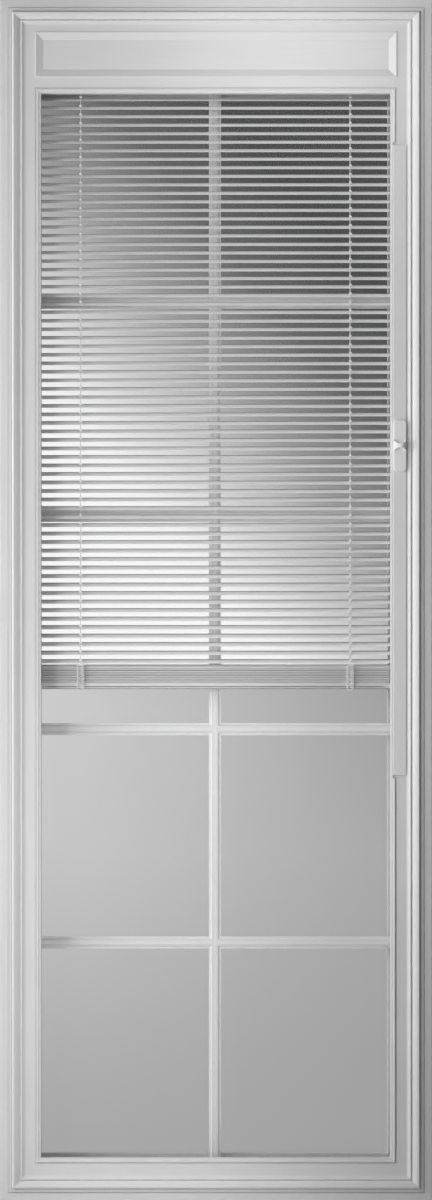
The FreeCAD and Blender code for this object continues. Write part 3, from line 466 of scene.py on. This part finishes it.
# %% Assign the finishes
FINISHES = {
    "frame_plastic": frame_plastic,
    "trim_plastic": trim_plastic,
    "track_plastic": track_plastic,
    "handle_plastic": handle_plastic,
    "glass": pane_glass,
    "spacer_metal": spacer_metal,
    "edge_seal": seal_black,
    "glazing_tape": tape_grey,
    "setting_rubber": rubber,
    "screw_steel": screw_steel,
    "grille_paint": bar_enamel,
    "nylon": nylon,
    "rail_paint": rail_enamel,
    "slat_paint": slat_enamel,
    "rod_steel": rod_steel,
    "magnet": magnet_metal,
    "cord": cord_braid,
}


def dress(piece, finish):
    piece.data.materials.clear()
    piece.data.materials.append(finish)


for piece in nodes.values():
    dress(piece, FINISHES[piece.data.materials[0].name])
dress(nodes["grille_upright"], upright_enamel)
print("dressed:", len(nodes), "slots:", len(FINISHES))

# %% Part the tapes from the panes
TAPE_GAP = 0.00008
for name in ("interior_glazing_tape", "exterior_glazing_tape"):
    part = nodes[name].modifiers.new("hair_gap", "DISPLACE")
    part.strength = -TAPE_GAP
    part.mid_level = 0.0
print("tapes parted by", TAPE_GAP)

# %% [markdown]
# ## The hanging slats
# Each slat is a thin crowned strip with rounded corners, hung open at a tilt. An array could repeat one
# strip, but the strips move apart or together as the blind is lowered or raised, so each one is its own
# piece, and its share of the drop is worked out. The share has to be the same all over a strip, so the
# blend is reckoned over a very long line past it.

# %% Measures of the blind
MM = 0.001
SOLID_SLATS = 71
SLATS = 72
SLAT_LIFT = 2.6 * MM
SLAT_CHORD = 12.5 * MM
SLAT_CROWN = 1.2 * MM
SLAT_THICK = 0.3 * MM
SLAT_CORNER = 3.5 * MM
SLAT_TILT = math.radians(28.0)
STRING_RADIUS = 0.6 * MM
STRING_DRAWN = 0.48 * MM
CORD_RADIUS = 0.35 * MM
CORD_BEHIND = 1.3 * CORD_RADIUS
slats_low, slats_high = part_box("blind_slats")
stack_low, stack_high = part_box("slat_stack")
ladder_low, ladder_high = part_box("ladder_cords")
SLAT_HALF = slats_high.x
BLIND_Y = (stack_low.y + stack_high.y) / 2
LADDER_X = ladder_high.x - STRING_RADIUS
STRING_FRONT = ladder_low.y + STRING_RADIUS
STRING_BACK = ladder_high.y - STRING_RADIUS
LIFT_Y = STRING_BACK + STRING_RADIUS + CORD_BEHIND
FIXED_Z = ladder_high.z
STACK_TOP = stack_high.z
STACK_LOW = stack_low.z
print("slat half", round(SLAT_HALF, 4), "ladder", round(LADDER_X, 4))
print("stack from", round(STACK_LOW, 4), "to", round(STACK_TOP, 4))

# %% Walls between rings
PAINTED = 0
BRAIDED = 1


def join_rings(mesh, rings, paint):
    """Walls from ring to ring and a face over each end."""
    faces = [mesh.faces.new(list(reversed(rings[0]))), mesh.faces.new(rings[-1])]
    count = len(rings[0])
    for near, far in zip(rings, rings[1:]):
        for step in range(count):
            after = (step + 1) % count
            faces.append(mesh.faces.new((near[step], near[after], far[after], far[step])))
    for face in faces:
        face.material_index = paint


print("material slots of a slat: enamel", PAINTED, "braid", BRAIDED)


# %% Shape of a slat
def tilted(across, up, lean=0.0):
    """A point of the slat's section, turned so that the room edge hangs lower, more or less by the lean."""
    angle = SLAT_TILT + lean
    y = across * math.cos(angle) - up * math.sin(angle)
    z = across * math.sin(angle) + up * math.cos(angle)
    return y, z


def slat_section(half, steps=8):
    """Top then bottom of the crowned strip, front to back and back again."""
    full = SLAT_CHORD / 2
    top = []
    for step in range(steps + 1):
        across = -half + 2 * half * step / steps
        top.append((across, SLAT_CROWN * (0.5 - (across / full) ** 2)))
    bottom = [(across, up - SLAT_THICK) for across, up in reversed(top)]
    return top + bottom


def slat_stations(half_length, steps=3):
    """Places along the slat with the half width there, so that its corners come out round."""
    round_from = half_length - SLAT_CORNER
    straight_half = SLAT_CHORD / 2 - SLAT_CORNER
    right = []
    for step in range(steps + 1):
        turn = math.pi / 2 * step / steps
        x = round_from + SLAT_CORNER * math.sin(turn)
        right.append((x, straight_half + SLAT_CORNER * math.cos(turn)))
    return [(-x, half) for x, half in reversed(right)] + right


def add_slat(mesh, centre, half_length, lean=0.0):
    """One slat in an open mesh. A lean turns it a little more or less than its neighbours."""
    rings = []
    for x, half in slat_stations(half_length):
        ring = []
        for across, up in slat_section(half):
            y, z = tilted(across, up, lean)
            ring.append(mesh.verts.new(centre + Vector((x, y, z))))
        rings.append(ring)
    join_rings(mesh, rings, PAINTED)


edge_heights = [tilted(across, up)[1] for across, up in slat_section(SLAT_CHORD / 2)]
print("slat height as hung", round(max(edge_heights) - min(edge_heights), 5))

# %% Threads and knots
NEARLY_DEPTHWISE = 0.9
KNOT_STRANDS = 3
KNOT_LUMPS = 0.12
KNOT_FLATNESS = 0.7


def add_thread(mesh, points, radius, paint=PAINTED, sides=6):
    """A thin round thread through the points."""
    rings = []
    for index, point in enumerate(points):
        ahead = points[min(index + 1, len(points) - 1)] - points[max(index - 1, 0)]
        along = ahead.normalized()
        across = Vector((0, 1, 0)) if abs(along.y) < NEARLY_DEPTHWISE else Vector((1, 0, 0))
        side = along.cross(across).normalized()
        other = along.cross(side)
        ring = []
        for step in range(sides):
            turn = 2 * math.pi * step / sides
            ring.append(mesh.verts.new(point + radius * (math.cos(turn) * side + math.sin(turn) * other)))
        rings.append(ring)
    join_rings(mesh, rings, paint)


def add_knot(mesh, centre, wide, tall, sides=8, rows=5):
    """A small lumpy knot of braid, built in rows from its foot to its head."""
    rings = []
    for row in range(1, rows):
        lift = math.pi * row / rows
        ring = []
        for step in range(sides):
            turn = 2 * math.pi * step / sides
            reach = wide * math.sin(lift) * (1.0 + KNOT_LUMPS * math.sin(KNOT_STRANDS * turn + row))
            x = reach * math.cos(turn)
            y = KNOT_FLATNESS * reach * math.sin(turn)
            ring.append(mesh.verts.new(centre + Vector((x, y, -tall * math.cos(lift)))))
        rings.append(ring)
    join_rings(mesh, rings, BRAIDED)


print("thread and knot helpers ready")


# %% From an open mesh to an object
def finish_mesh(name, mesh, finishes, sharp=40.0):
    """Turns an open mesh into a smooth shaded object of the scene."""
    bmesh.ops.recalc_face_normals(mesh, faces=mesh.faces[:])
    data = bpy.data.meshes.new(name)
    mesh.to_mesh(data)
    mesh.free()
    data.shade_smooth()
    data.set_sharp_from_angle(angle=math.radians(sharp))
    for finish in finishes:
        data.materials.append(finish)
    piece = bpy.data.objects.new(name, data)
    scene.collection.objects.link(piece)
    return piece


print("mesh finisher ready")


# %% Shares of the drop along the blind
def share_of_drop(z):
    """How far a point of the blind follows the bottom rail, from 0 at the headrail to 1 at the stack."""
    return min(1.0, max(0.0, (FIXED_Z - z) / (FIXED_Z - STACK_TOP)))


def blend_step(share):
    """The straight fraction whose smooth step is this share."""
    return 0.5 - math.sin(math.asin(1 - 2 * share) / 3)


def follow_evenly(piece, z, far=100.0):
    """Works out the start of a blend for the share of height z, and bakes the piece in place."""
    start = z + far * blend_step(share_of_drop(z))
    start - far
    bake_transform(piece)


print("share half way down:", round(share_of_drop((FIXED_Z + STACK_TOP) / 2), 3))

# %% Hang the slats with their rungs and knots
RUNG_RADIUS = 0.3 * MM
# Heights of a rung's front and back ends from the middle of its slat.
UNDER_RUNG = (-5.2 * MM, 2.5 * MM)
OVER_RUNG = (1.3 * MM, 4.6 * MM)
# Height of a knot from the middle of its slat, then its half width and half height.
FRONT_KNOT = (1.3 * MM, 2.1 * MM, 1.5 * MM)
BACK_KNOT = (4.4 * MM, 1.0 * MM, 0.9 * MM)
SLAT_PITCH = (slats_high.z - max(edge_heights) - slats_low.z + min(edge_heights)) / (SOLID_SLATS - 1)
SLAT_TOP = slats_high.z - max(edge_heights) + SLAT_LIFT
for index in range(SLATS):
    z = SLAT_TOP - index * SLAT_PITCH
    mesh = bmesh.new()
    add_slat(mesh, Vector((0, BLIND_Y, z)), SLAT_HALF)
    for side in (-1, 1):
        x = side * LADDER_X
        for front, back in (UNDER_RUNG, OVER_RUNG):
            rung = [Vector((x, STRING_FRONT, z + front)), Vector((x, STRING_BACK, z + back))]
            add_thread(mesh, rung, RUNG_RADIUS, paint=BRAIDED, sides=5)
        for y, (up, wide, tall) in ((STRING_FRONT, FRONT_KNOT), (STRING_BACK, BACK_KNOT)):
            add_knot(mesh, Vector((x, y, z + up)), wide, tall)
    slat = finish_mesh(f"slat_{index + 1:02d}", mesh, [slat_enamel, lit_knot_braid])
    follow_evenly(slat, z)
    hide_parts("blind_slats")
print("slats hung:", SLATS, "pitch", round(SLAT_PITCH, 5), "first", round(SLAT_TOP, 4))

# %% [markdown]
# ## Ladder strings and lift cords
# Two ladders of string carry the slats, and a lift cord runs behind each. A blend eases in and out
# between its two ends, so one long string would stretch most in its middle, while the slats move apart
# evenly. Each string is therefore cut into a few lengths, and the shares at the two ends of each are
# worked out.

# %% String lengths
STRING_LENGTHS = 12
STRING_STEPS = 6


def follow_between(piece, top, low):
    """Works out the span of a blend between the shares at the piece's two ends, and bakes the piece in
    place.
    """
    first = blend_step(share_of_drop(top))
    last = blend_step(share_of_drop(low))
    span = (top - low) / (last - first)
    start = top + first * span
    start - span
    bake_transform(piece)


cuts = [FIXED_Z + (STACK_TOP - FIXED_Z) * step / STRING_LENGTHS for step in range(STRING_LENGTHS + 1)]
for index, (top, low) in enumerate(zip(cuts, cuts[1:]), 1):
    ladders = bmesh.new()
    lifts = bmesh.new()
    rows = [top + (low - top) * step / STRING_STEPS for step in range(STRING_STEPS + 1)]
    for side in (-1, 1):
        for y in (STRING_FRONT, STRING_BACK):
            add_thread(ladders, [Vector((side * LADDER_X, y, z)) for z in rows], STRING_DRAWN, sides=7)
        add_thread(lifts, [Vector((side * LADDER_X, LIFT_Y, z)) for z in rows], CORD_RADIUS, sides=7)
    ladder = finish_mesh(f"ladder_string_{index:02d}", ladders, [cord_braid])
    lift = finish_mesh(f"lift_cord_{index:02d}", lifts, [cord_braid])
    for piece, node in ((ladder, "ladder_cords"), (lift, "lift_cords")):
        follow_between(piece, top, low)
        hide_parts(node)
print("string lengths:", 2 * STRING_LENGTHS)

# %% [markdown]
# ## The gathered stack
# Where the blind is drawn up, the spare slats nest in one another over the bottom rail in uneven
# bundles, and the slack ladders bunch up in front of them. A ridged block could stand for it, but real
# slats leaning a little more or less, in a fixed random order, give the fine uneven lines that a
# drawn-up blind shows.

# %% Stack of slats
STACK_SEED = 7
BUNDLES = 8
NESTED = 3
NEST_STEP = 0.5 * MM
BUNDLE_MARGIN = 2.6 * MM
BUNDLE_DRIFT = 0.16
LEAN_RANGE = (-14.0, -6.0)
SLIP_X = 0.4 * MM
SLIP_Y = 0.3 * MM
chance = random.Random(STACK_SEED)
stack = bmesh.new()
for bundle in range(BUNDLES):
    share = (bundle + chance.uniform(-BUNDLE_DRIFT, BUNDLE_DRIFT)) / (BUNDLES - 1)
    share = min(1.0, max(0.0, share))
    z = STACK_LOW + BUNDLE_MARGIN + (STACK_TOP - STACK_LOW - 2 * BUNDLE_MARGIN) * share
    lean = math.radians(chance.uniform(*LEAN_RANGE))
    for layer in range(NESTED):
        slip_x = chance.uniform(-SLIP_X, SLIP_X)
        slip_y = chance.uniform(-SLIP_Y, SLIP_Y)
        nested_z = z + (layer - (NESTED - 1) / 2) * NEST_STEP
        add_slat(stack, Vector((slip_x, BLIND_Y + slip_y, nested_z)), SLAT_HALF - SLIP_X, lean)
print("stacked slats:", BUNDLES * NESTED)

# %% Slack ladders in front of the stack
SLACK_FORWARD = 0.9 * MM
SLACK_DEPTH = 0.5 * MM
SWING_RANGE = (0.7, 1.1)
PITCH_RANGE = (0.6, 1.3)
# In mm: place beside the ladder, swing, pitch, radius, start below the stack's top, end above the foot.
BUNCHED = (2.3, 2.7, 1.5, 0.75, 0.5, 0.5)
EDGE = (-4.6, 0.9, 1.2, 0.65, 2.0, 1.0)
LOOSE = (-2.2, 1.8, 3.0, 0.45, 1.0, 1.0)
SLACK_STRANDS = (BUNCHED, BUNCHED, BUNCHED, EDGE, LOOSE)
TIED_APART = 1.8 * MM
TIED_BACK = 1.2 * MM
TIED_UNDER = 1.0 * MM
TIED_WIDE = 1.5 * MM
TIED_TALL = 1.1 * MM


def add_zigzag(mesh, centre_x, swing, pitch, radius, top, low):
    """A thread that runs to and fro in front of the stack, a little unevenly, from top to low."""
    points = []
    side = 1
    z = top
    while z > low:
        x = centre_x + side * swing * chance.uniform(*SWING_RANGE)
        y = STRING_FRONT - SLACK_FORWARD + chance.uniform(-SLACK_DEPTH, SLACK_DEPTH)
        points.append(Vector((x, y, z)))
        side = -side
        z -= pitch * chance.uniform(*PITCH_RANGE)
    add_thread(mesh, points, radius, paint=BRAIDED)


rail_low, rail_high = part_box("bottom_rail")
for side in (-1, 1):
    x = side * LADDER_X
    for strand in SLACK_STRANDS:
        beside, swing, pitch, radius, start, end = [measure * MM for measure in strand]
        add_zigzag(stack, x + beside, swing, pitch, radius, STACK_TOP - start, rail_low.z + end)
    for apart in (-TIED_APART, TIED_APART):
        tied = Vector((x + apart, STRING_FRONT + TIED_BACK, rail_low.z - TIED_UNDER))
        add_knot(stack, tied, TIED_WIDE, TIED_TALL)
stack_piece = finish_mesh("gathered_slats", stack, [shaded_stack_enamel, lit_knot_braid])
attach(stack_piece, "blind")
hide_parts("slat_stack")
print("stack faces:", len(stack_piece.data.polygons))

# %% [markdown]
# ## The bottom rail
# The rail that closes the blind is a roll-formed channel. Its face steps in over a groove and ends in a
# round bead that catches the light. A plain box with bevels would miss both, so its section is a short
# outline that is drawn out along the rail.

# %% Bottom rail
# In mm: depth behind the rail's front and height over its foot.
RAIL_SECTION = [
    (0.6, 8.0), (0.6, 4.0), (2.4, 3.8), (2.4, 3.0), (0.3, 2.8), (0.0, 2.2), (0.1, 1.6), (0.5, 1.1),
    (3.0, 0.9), (3.2, 0.0), (11.0, 0.0), (12.3, 0.8), (13.0, 2.0), (13.0, 7.2), (12.2, 8.0)]
END_INSET = 0.4 * MM
END_SCALE = 0.97


def drawn_out(name, outline, left, right, finish):
    """A closed outline of (y, z) points drawn out along X, a little smaller at its two ends."""
    mesh = bmesh.new()
    middle_y = sum(y for y, z in outline) / len(outline)
    middle_z = sum(z for y, z in outline) / len(outline)
    stations = ((left, END_SCALE), (left + END_INSET, 1.0), (right - END_INSET, 1.0), (right, END_SCALE))
    rings = []
    for x, scale in stations:
        ring = []
        for y, z in outline:
            scaled_y = middle_y + (y - middle_y) * scale
            scaled_z = middle_z + (z - middle_z) * scale
            ring.append(mesh.verts.new((x, scaled_y, scaled_z)))
        rings.append(ring)
    join_rings(mesh, rings, PAINTED)
    return finish_mesh(name, mesh, [finish], sharp=50.0)


outline = [(rail_low.y + y * MM, rail_low.z + z * MM) for y, z in RAIL_SECTION]
bottom_rail = drawn_out("rolled_bottom_rail", outline, rail_low.x, rail_high.x, foot_enamel)
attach(bottom_rail, "blind")
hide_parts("bottom_rail")
print("bottom rail length", round(rail_high.x - rail_low.x, 4))

# %% [markdown]
# ## The sliding handle
# The handle is one moulding: two flat thumb pads with rounded ends, and between them a waisted fin that
# arches from the left and falls more steeply to the right. It could be shaped from a subdivided box,
# but its curves are simple formulas, so a height over a grid of points gives all of it. The distance to
# the outline rounds the rim, and the fin is a share of height inside two curves that pinch towards each
# other.

# %% Shape of the handle
HANDLE_CORNER = 5.0 * MM
PAD_HEIGHT = 3.0 * MM
RIM = 0.9 * MM
WAIST_HALF = 3.6 * MM
WAIST_FLARE = 5.0 * MM
FIN_EDGE = 0.9 * MM
FIN_CREST = 0.60
FIN_LEFT = 0.45
FIN_RIGHT = 0.35
WITHIN_BOX = 0.9999
handle_low, handle_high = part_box("operator_handle")
handle_half = Vector(((handle_high.x - handle_low.x) / 2, 0, (handle_high.z - handle_low.z) / 2))
handle_middle = (handle_low + handle_high) / 2
FIN_HEIGHT = handle_high.y - handle_low.y - PAD_HEIGHT


def from_rim(x, z):
    """How far a point of the handle lies in from its rounded outline."""
    over_x = max(abs(x) - handle_half.x + HANDLE_CORNER, 0.0)
    over_z = max(abs(z) - handle_half.z + HANDLE_CORNER, 0.0)
    inner = min(handle_half.x - abs(x), handle_half.z - abs(z))
    return HANDLE_CORNER - math.hypot(over_x, over_z) if over_x and over_z else inner


def smooth(value):
    """A soft step from 0 to 1."""
    held = min(1.0, max(0.0, value))
    return held * held * (3 - 2 * held)


def handle_height(x, z):
    """Height of the handle's face over its back."""
    rim = max(0.0, 1 - from_rim(x, z) / RIM)
    along = (x / handle_half.x + 1) / 2
    if along < FIN_CREST:
        arch = 1 - (1 - FIN_LEFT) * (1 - along / FIN_CREST) ** 2
    else:
        arch = 1 - (1 - FIN_RIGHT) * ((along - FIN_CREST) / (1 - FIN_CREST)) ** 2
    pinch = WAIST_HALF + WAIST_FLARE * (x / handle_half.x) ** 2
    fin = FIN_HEIGHT * arch * smooth((pinch - abs(z)) / FIN_EDGE) * (1 - rim)
    return (PAD_HEIGHT - RIM * rim * rim + fin) * WITHIN_BOX


print("fin height", round(FIN_HEIGHT, 4))

# %% Handle
HANDLE_ROWS = 190
HANDLE_COLUMNS = 46


def crowded(step, count):
    """Places from -1 to 1 that crowd together towards both ends."""
    return math.sin(math.pi / 2 * (2 * step / count - 1))


def handle_row(z):
    """Places across the handle at one height, from edge to edge of its rounded outline."""
    over = max(abs(z) - handle_half.z + HANDLE_CORNER, 0.0)
    half = handle_half.x - HANDLE_CORNER + math.sqrt(max(HANDLE_CORNER ** 2 - over ** 2, 0.0))
    return [half * crowded(step, HANDLE_COLUMNS) for step in range(HANDLE_COLUMNS + 1)]


mesh = bmesh.new()
rings = []
for row in range(HANDLE_ROWS + 1):
    z = handle_half.z * crowded(row, HANDLE_ROWS)
    places = handle_row(z)
    section = [(places[0], 0.0)] + [(x, handle_height(x, z)) for x in places] + [(places[-1], 0.0)]
    ring = []
    for x, height in section:
        ring.append(mesh.verts.new((handle_middle.x + x, handle_high.y - height, handle_middle.z + z)))
    rings.append(ring)
join_rings(mesh, rings, PAINTED)
handle = finish_mesh("moulded_handle", mesh, [handle_plastic], sharp=55.0)
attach(handle, "operator")
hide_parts("operator_handle")
print("handle faces:", len(handle.data.polygons))

# %% [markdown]
# ## The hidden draw cord
# Behind the track a cord runs from the headrail's corner down to the carriage that the handle pulls by
# magnet. Its two runs are drawn as plain threads from top to bottom and baked in place.

# %% Draw cord
DRAW_STEPS = 16
low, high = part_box("draw_cord")
draw = bmesh.new()
middle = (low + high) / 2
heights = [high.z + (low.z - high.z) * step / DRAW_STEPS for step in range(DRAW_STEPS + 1)]
for x in (low.x + CORD_RADIUS, high.x - CORD_RADIUS):
    add_thread(draw, [Vector((x, middle.y, z)) for z in heights], CORD_RADIUS, sides=7)
draw_cord = finish_mesh("draw_cord_runs", draw, [cord_braid])
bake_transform(draw_cord)
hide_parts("draw_cord")
print("draw cord runs 2, length", round(high.z - low.z, 3))

# %% [markdown]
# ## Floor, light and camera
# The insert stands on a plain pale floor. Two softboxes far to the left model the mouldings, one beside
# the part and one higher in front, and three weak panels before the glass light the blind and the
# header. What shows through the glass is the bare studio: a backdrop that fades from white at the lower
# left to dark at the upper right, and the floor, which for the camera glows with a painted light, paler
# further off and darker to the right, over a quarter of matt floor that keeps the shadows. A wall could
# carry the backdrop, but it would stand in the way of views from behind, so the world holds it.

# %% Floor
CAMERA_PLACE = Vector((-0.18, -4.93, -0.10))
CAMERA_REACH = 4.9
FLOOR_GAP = 0.0003
FLOOR_Z = solid_box[0].z - FLOOR_GAP
FLOOR_REACH = 200.0
floor_mesh = bmesh.new()
bmesh.ops.create_circle(floor_mesh, cap_ends=True, segments=160, radius=FLOOR_REACH)
floor_data = bpy.data.meshes.new("studio_floor")
floor_mesh.to_mesh(floor_data)
floor_mesh.free()
studio_floor = bpy.data.objects.new("studio_floor", floor_data)
studio_floor.location.z = FLOOR_Z
scene.collection.objects.link(studio_floor)
print("floor reach", FLOOR_REACH)

# %% Floor finish
FLOOR_LEVEL = 0.63
DROP_FADE = 0.49
FADE_FROM = 0.25
SIDE_REACH = 0.35
SIDE_FADE = 0.79
SIDE_FADE_BY_DROP = 1.1
FLOOR_DARKEST = 0.39
FLOOR_PALEST = 0.82
GLOW_SHARE = 0.75


def seen_directly(wire):
    """1 for a ray that shows a thing to the camera, also through glass or in a gloss, otherwise 0."""
    path = wire.node("ShaderNodeLightPath")
    seen = wire.maths("MAXIMUM", path, path.out("Is Transmission Ray"))
    return wire.maths("MAXIMUM", seen, path.out("Is Glossy Ray"))


floor_finish, wire = new_finish("pale_floor")
split = wire.node("ShaderNodeSeparateXYZ", sockets={"Vector": object_point(wire)})
nearness = CAMERA_REACH / wire.maths("MAXIMUM", split.out("Y") - CAMERA_PLACE.y, 1.0)
drop = (CAMERA_PLACE.z - FLOOR_Z) * nearness
sideways = CAMERA_PLACE.x + (split - CAMERA_PLACE.x) * nearness
sideways = held_between(wire, sideways, -SIDE_REACH, SIDE_REACH)
# Painted light: the floor's glow for the camera is paler further off and darker to the right.
level = FLOOR_LEVEL - DROP_FADE * wire.maths("MAXIMUM", drop - FADE_FROM, 0.0)
level = level + sideways * (SIDE_FADE_BY_DROP * drop - SIDE_FADE)
level = held_between(wire, level, FLOOR_DARKEST, FLOOR_PALEST)
pale = wire.node("ShaderNodeCombineColor", sockets={0: level, 1: level, 2: level})
glow = wire.node("ShaderNodeEmission", sockets={"Color": pale, "Strength": 1.0})
matt = wire.node("ShaderNodeBsdfPrincipled", sockets={"Base Color": grey(0.7), "Roughness": 0.8})
surface = wire.node("ShaderNodeMixShader", sockets={0: GLOW_SHARE * seen_directly(wire), 1: matt, 2: glow})
wire.node("ShaderNodeOutputMaterial", sockets={"Surface": surface})
dress(studio_floor, floor_finish)
print("floor finish", floor_finish.name)

# %% World
ACROSS_SLANT = 1.2
SLANT_DARK = -0.21
SLANT_WHITE = -0.03
BACKDROP_STOPS = ((0.03, 0.067), (0.24, 0.133), (0.43, 0.327), (0.60, 0.627), (0.78, 0.947), (0.90, 1.0))
FILL_ALL_ROUND = 0.03
FILL_BEHIND = 0.65
world = bpy.data.worlds.new("studio")
scene.world = world
world.use_nodes = True
world.node_tree.nodes.clear()
wire = Wire(world.node_tree)
view = wire.node("ShaderNodeTexCoord", output="Generated")
split = wire.node("ShaderNodeSeparateXYZ", sockets={"Vector": view})
slant = -1 * split.out("Z") - ACROSS_SLANT * split
reach = {"Value": slant, "From Min": SLANT_DARK, "From Max": SLANT_WHITE}
spread = wire.node("ShaderNodeMapRange", sockets=reach)
stops = [(place, grey(level)) for place, level in BACKDROP_STOPS]
fade = wire.node("ShaderNodeValToRGB", {"stops": stops}, {"Fac": spread})
seen_backdrop = wire.node("ShaderNodeBackground", sockets={"Color": fade, "Strength": 1.0})
fill = FILL_ALL_ROUND + FILL_BEHIND * wire.maths("MAXIMUM", split.out("Y"), 0.0)
soft_fill = wire.node("ShaderNodeBackground", sockets={"Color": grey(1.0), "Strength": fill})
both = wire.node("ShaderNodeMixShader", sockets={0: seen_directly(wire), 1: soft_fill, 2: seen_backdrop})
wire.node("ShaderNodeOutputWorld", sockets={"Surface": both})
print("world set, backdrop stops:", len(stops))

# %% Lamps
# Name, place, target, power, width and height of each lamp.
LAMPS = (
    ("left_softbox", (-1.60, -0.50, 0.00), (0.0, 0.0, 0.0), 13.2, 0.5, 1.8),
    ("high_softbox", (-1.40, -1.00, 0.45), (0.0, 0.0, 0.35), 11.6, 0.5, 1.2),
    ("low_panel", (-0.08, -0.38, -0.55), (-0.08, 0.0, -0.55), 0.92, 0.25, 0.8),
    ("middle_panel", (0.04, -0.38, 0.10), (0.04, 0.0, 0.10), 0.80, 0.2, 0.8),
    ("top_panel", (0.12, -0.36, 0.80), (0.10, 0.0, 0.55), 0.66, 0.3, 0.3),
)


def add_lamp(name, place, target, power, wide, tall):
    """A rectangular soft lamp that lights the part but never stands in the picture."""
    data = bpy.data.lights.new(name, "AREA")
    data.shape = "RECTANGLE"
    data.size = wide
    data.size_y = tall
    data.energy = power
    lamp = bpy.data.objects.new(name, data)
    lamp.location = place
    lamp.rotation_euler = (Vector(target) - Vector(place)).to_track_quat("-Z", "Y").to_euler()
    lamp.visible_camera = False
    scene.collection.objects.link(lamp)


for lamp in LAMPS:
    add_lamp(*lamp)
print("lamps:", len(LAMPS))

# %% Camera
VIEW_TRIM = 0.0012
camera_data = bpy.data.cameras.new("photo_camera")
camera_data.sensor_width = 36.0
view_height = 2 * (HALF_HEIGHT - VIEW_TRIM)
camera_data.lens = camera_data.sensor_width * CAMERA_REACH / view_height
camera_data.shift_x = -CAMERA_PLACE.x / view_height
camera_data.shift_y = -CAMERA_PLACE.z / view_height
camera_data.clip_end = 2 * FLOOR_REACH
camera = bpy.data.objects.new("photo_camera", camera_data)
camera.location = CAMERA_PLACE
camera.rotation_euler = (math.radians(90.0), 0.0, 0.0)
scene.collection.objects.link(camera)
scene.camera = camera
print("camera at", tuple(camera.location))
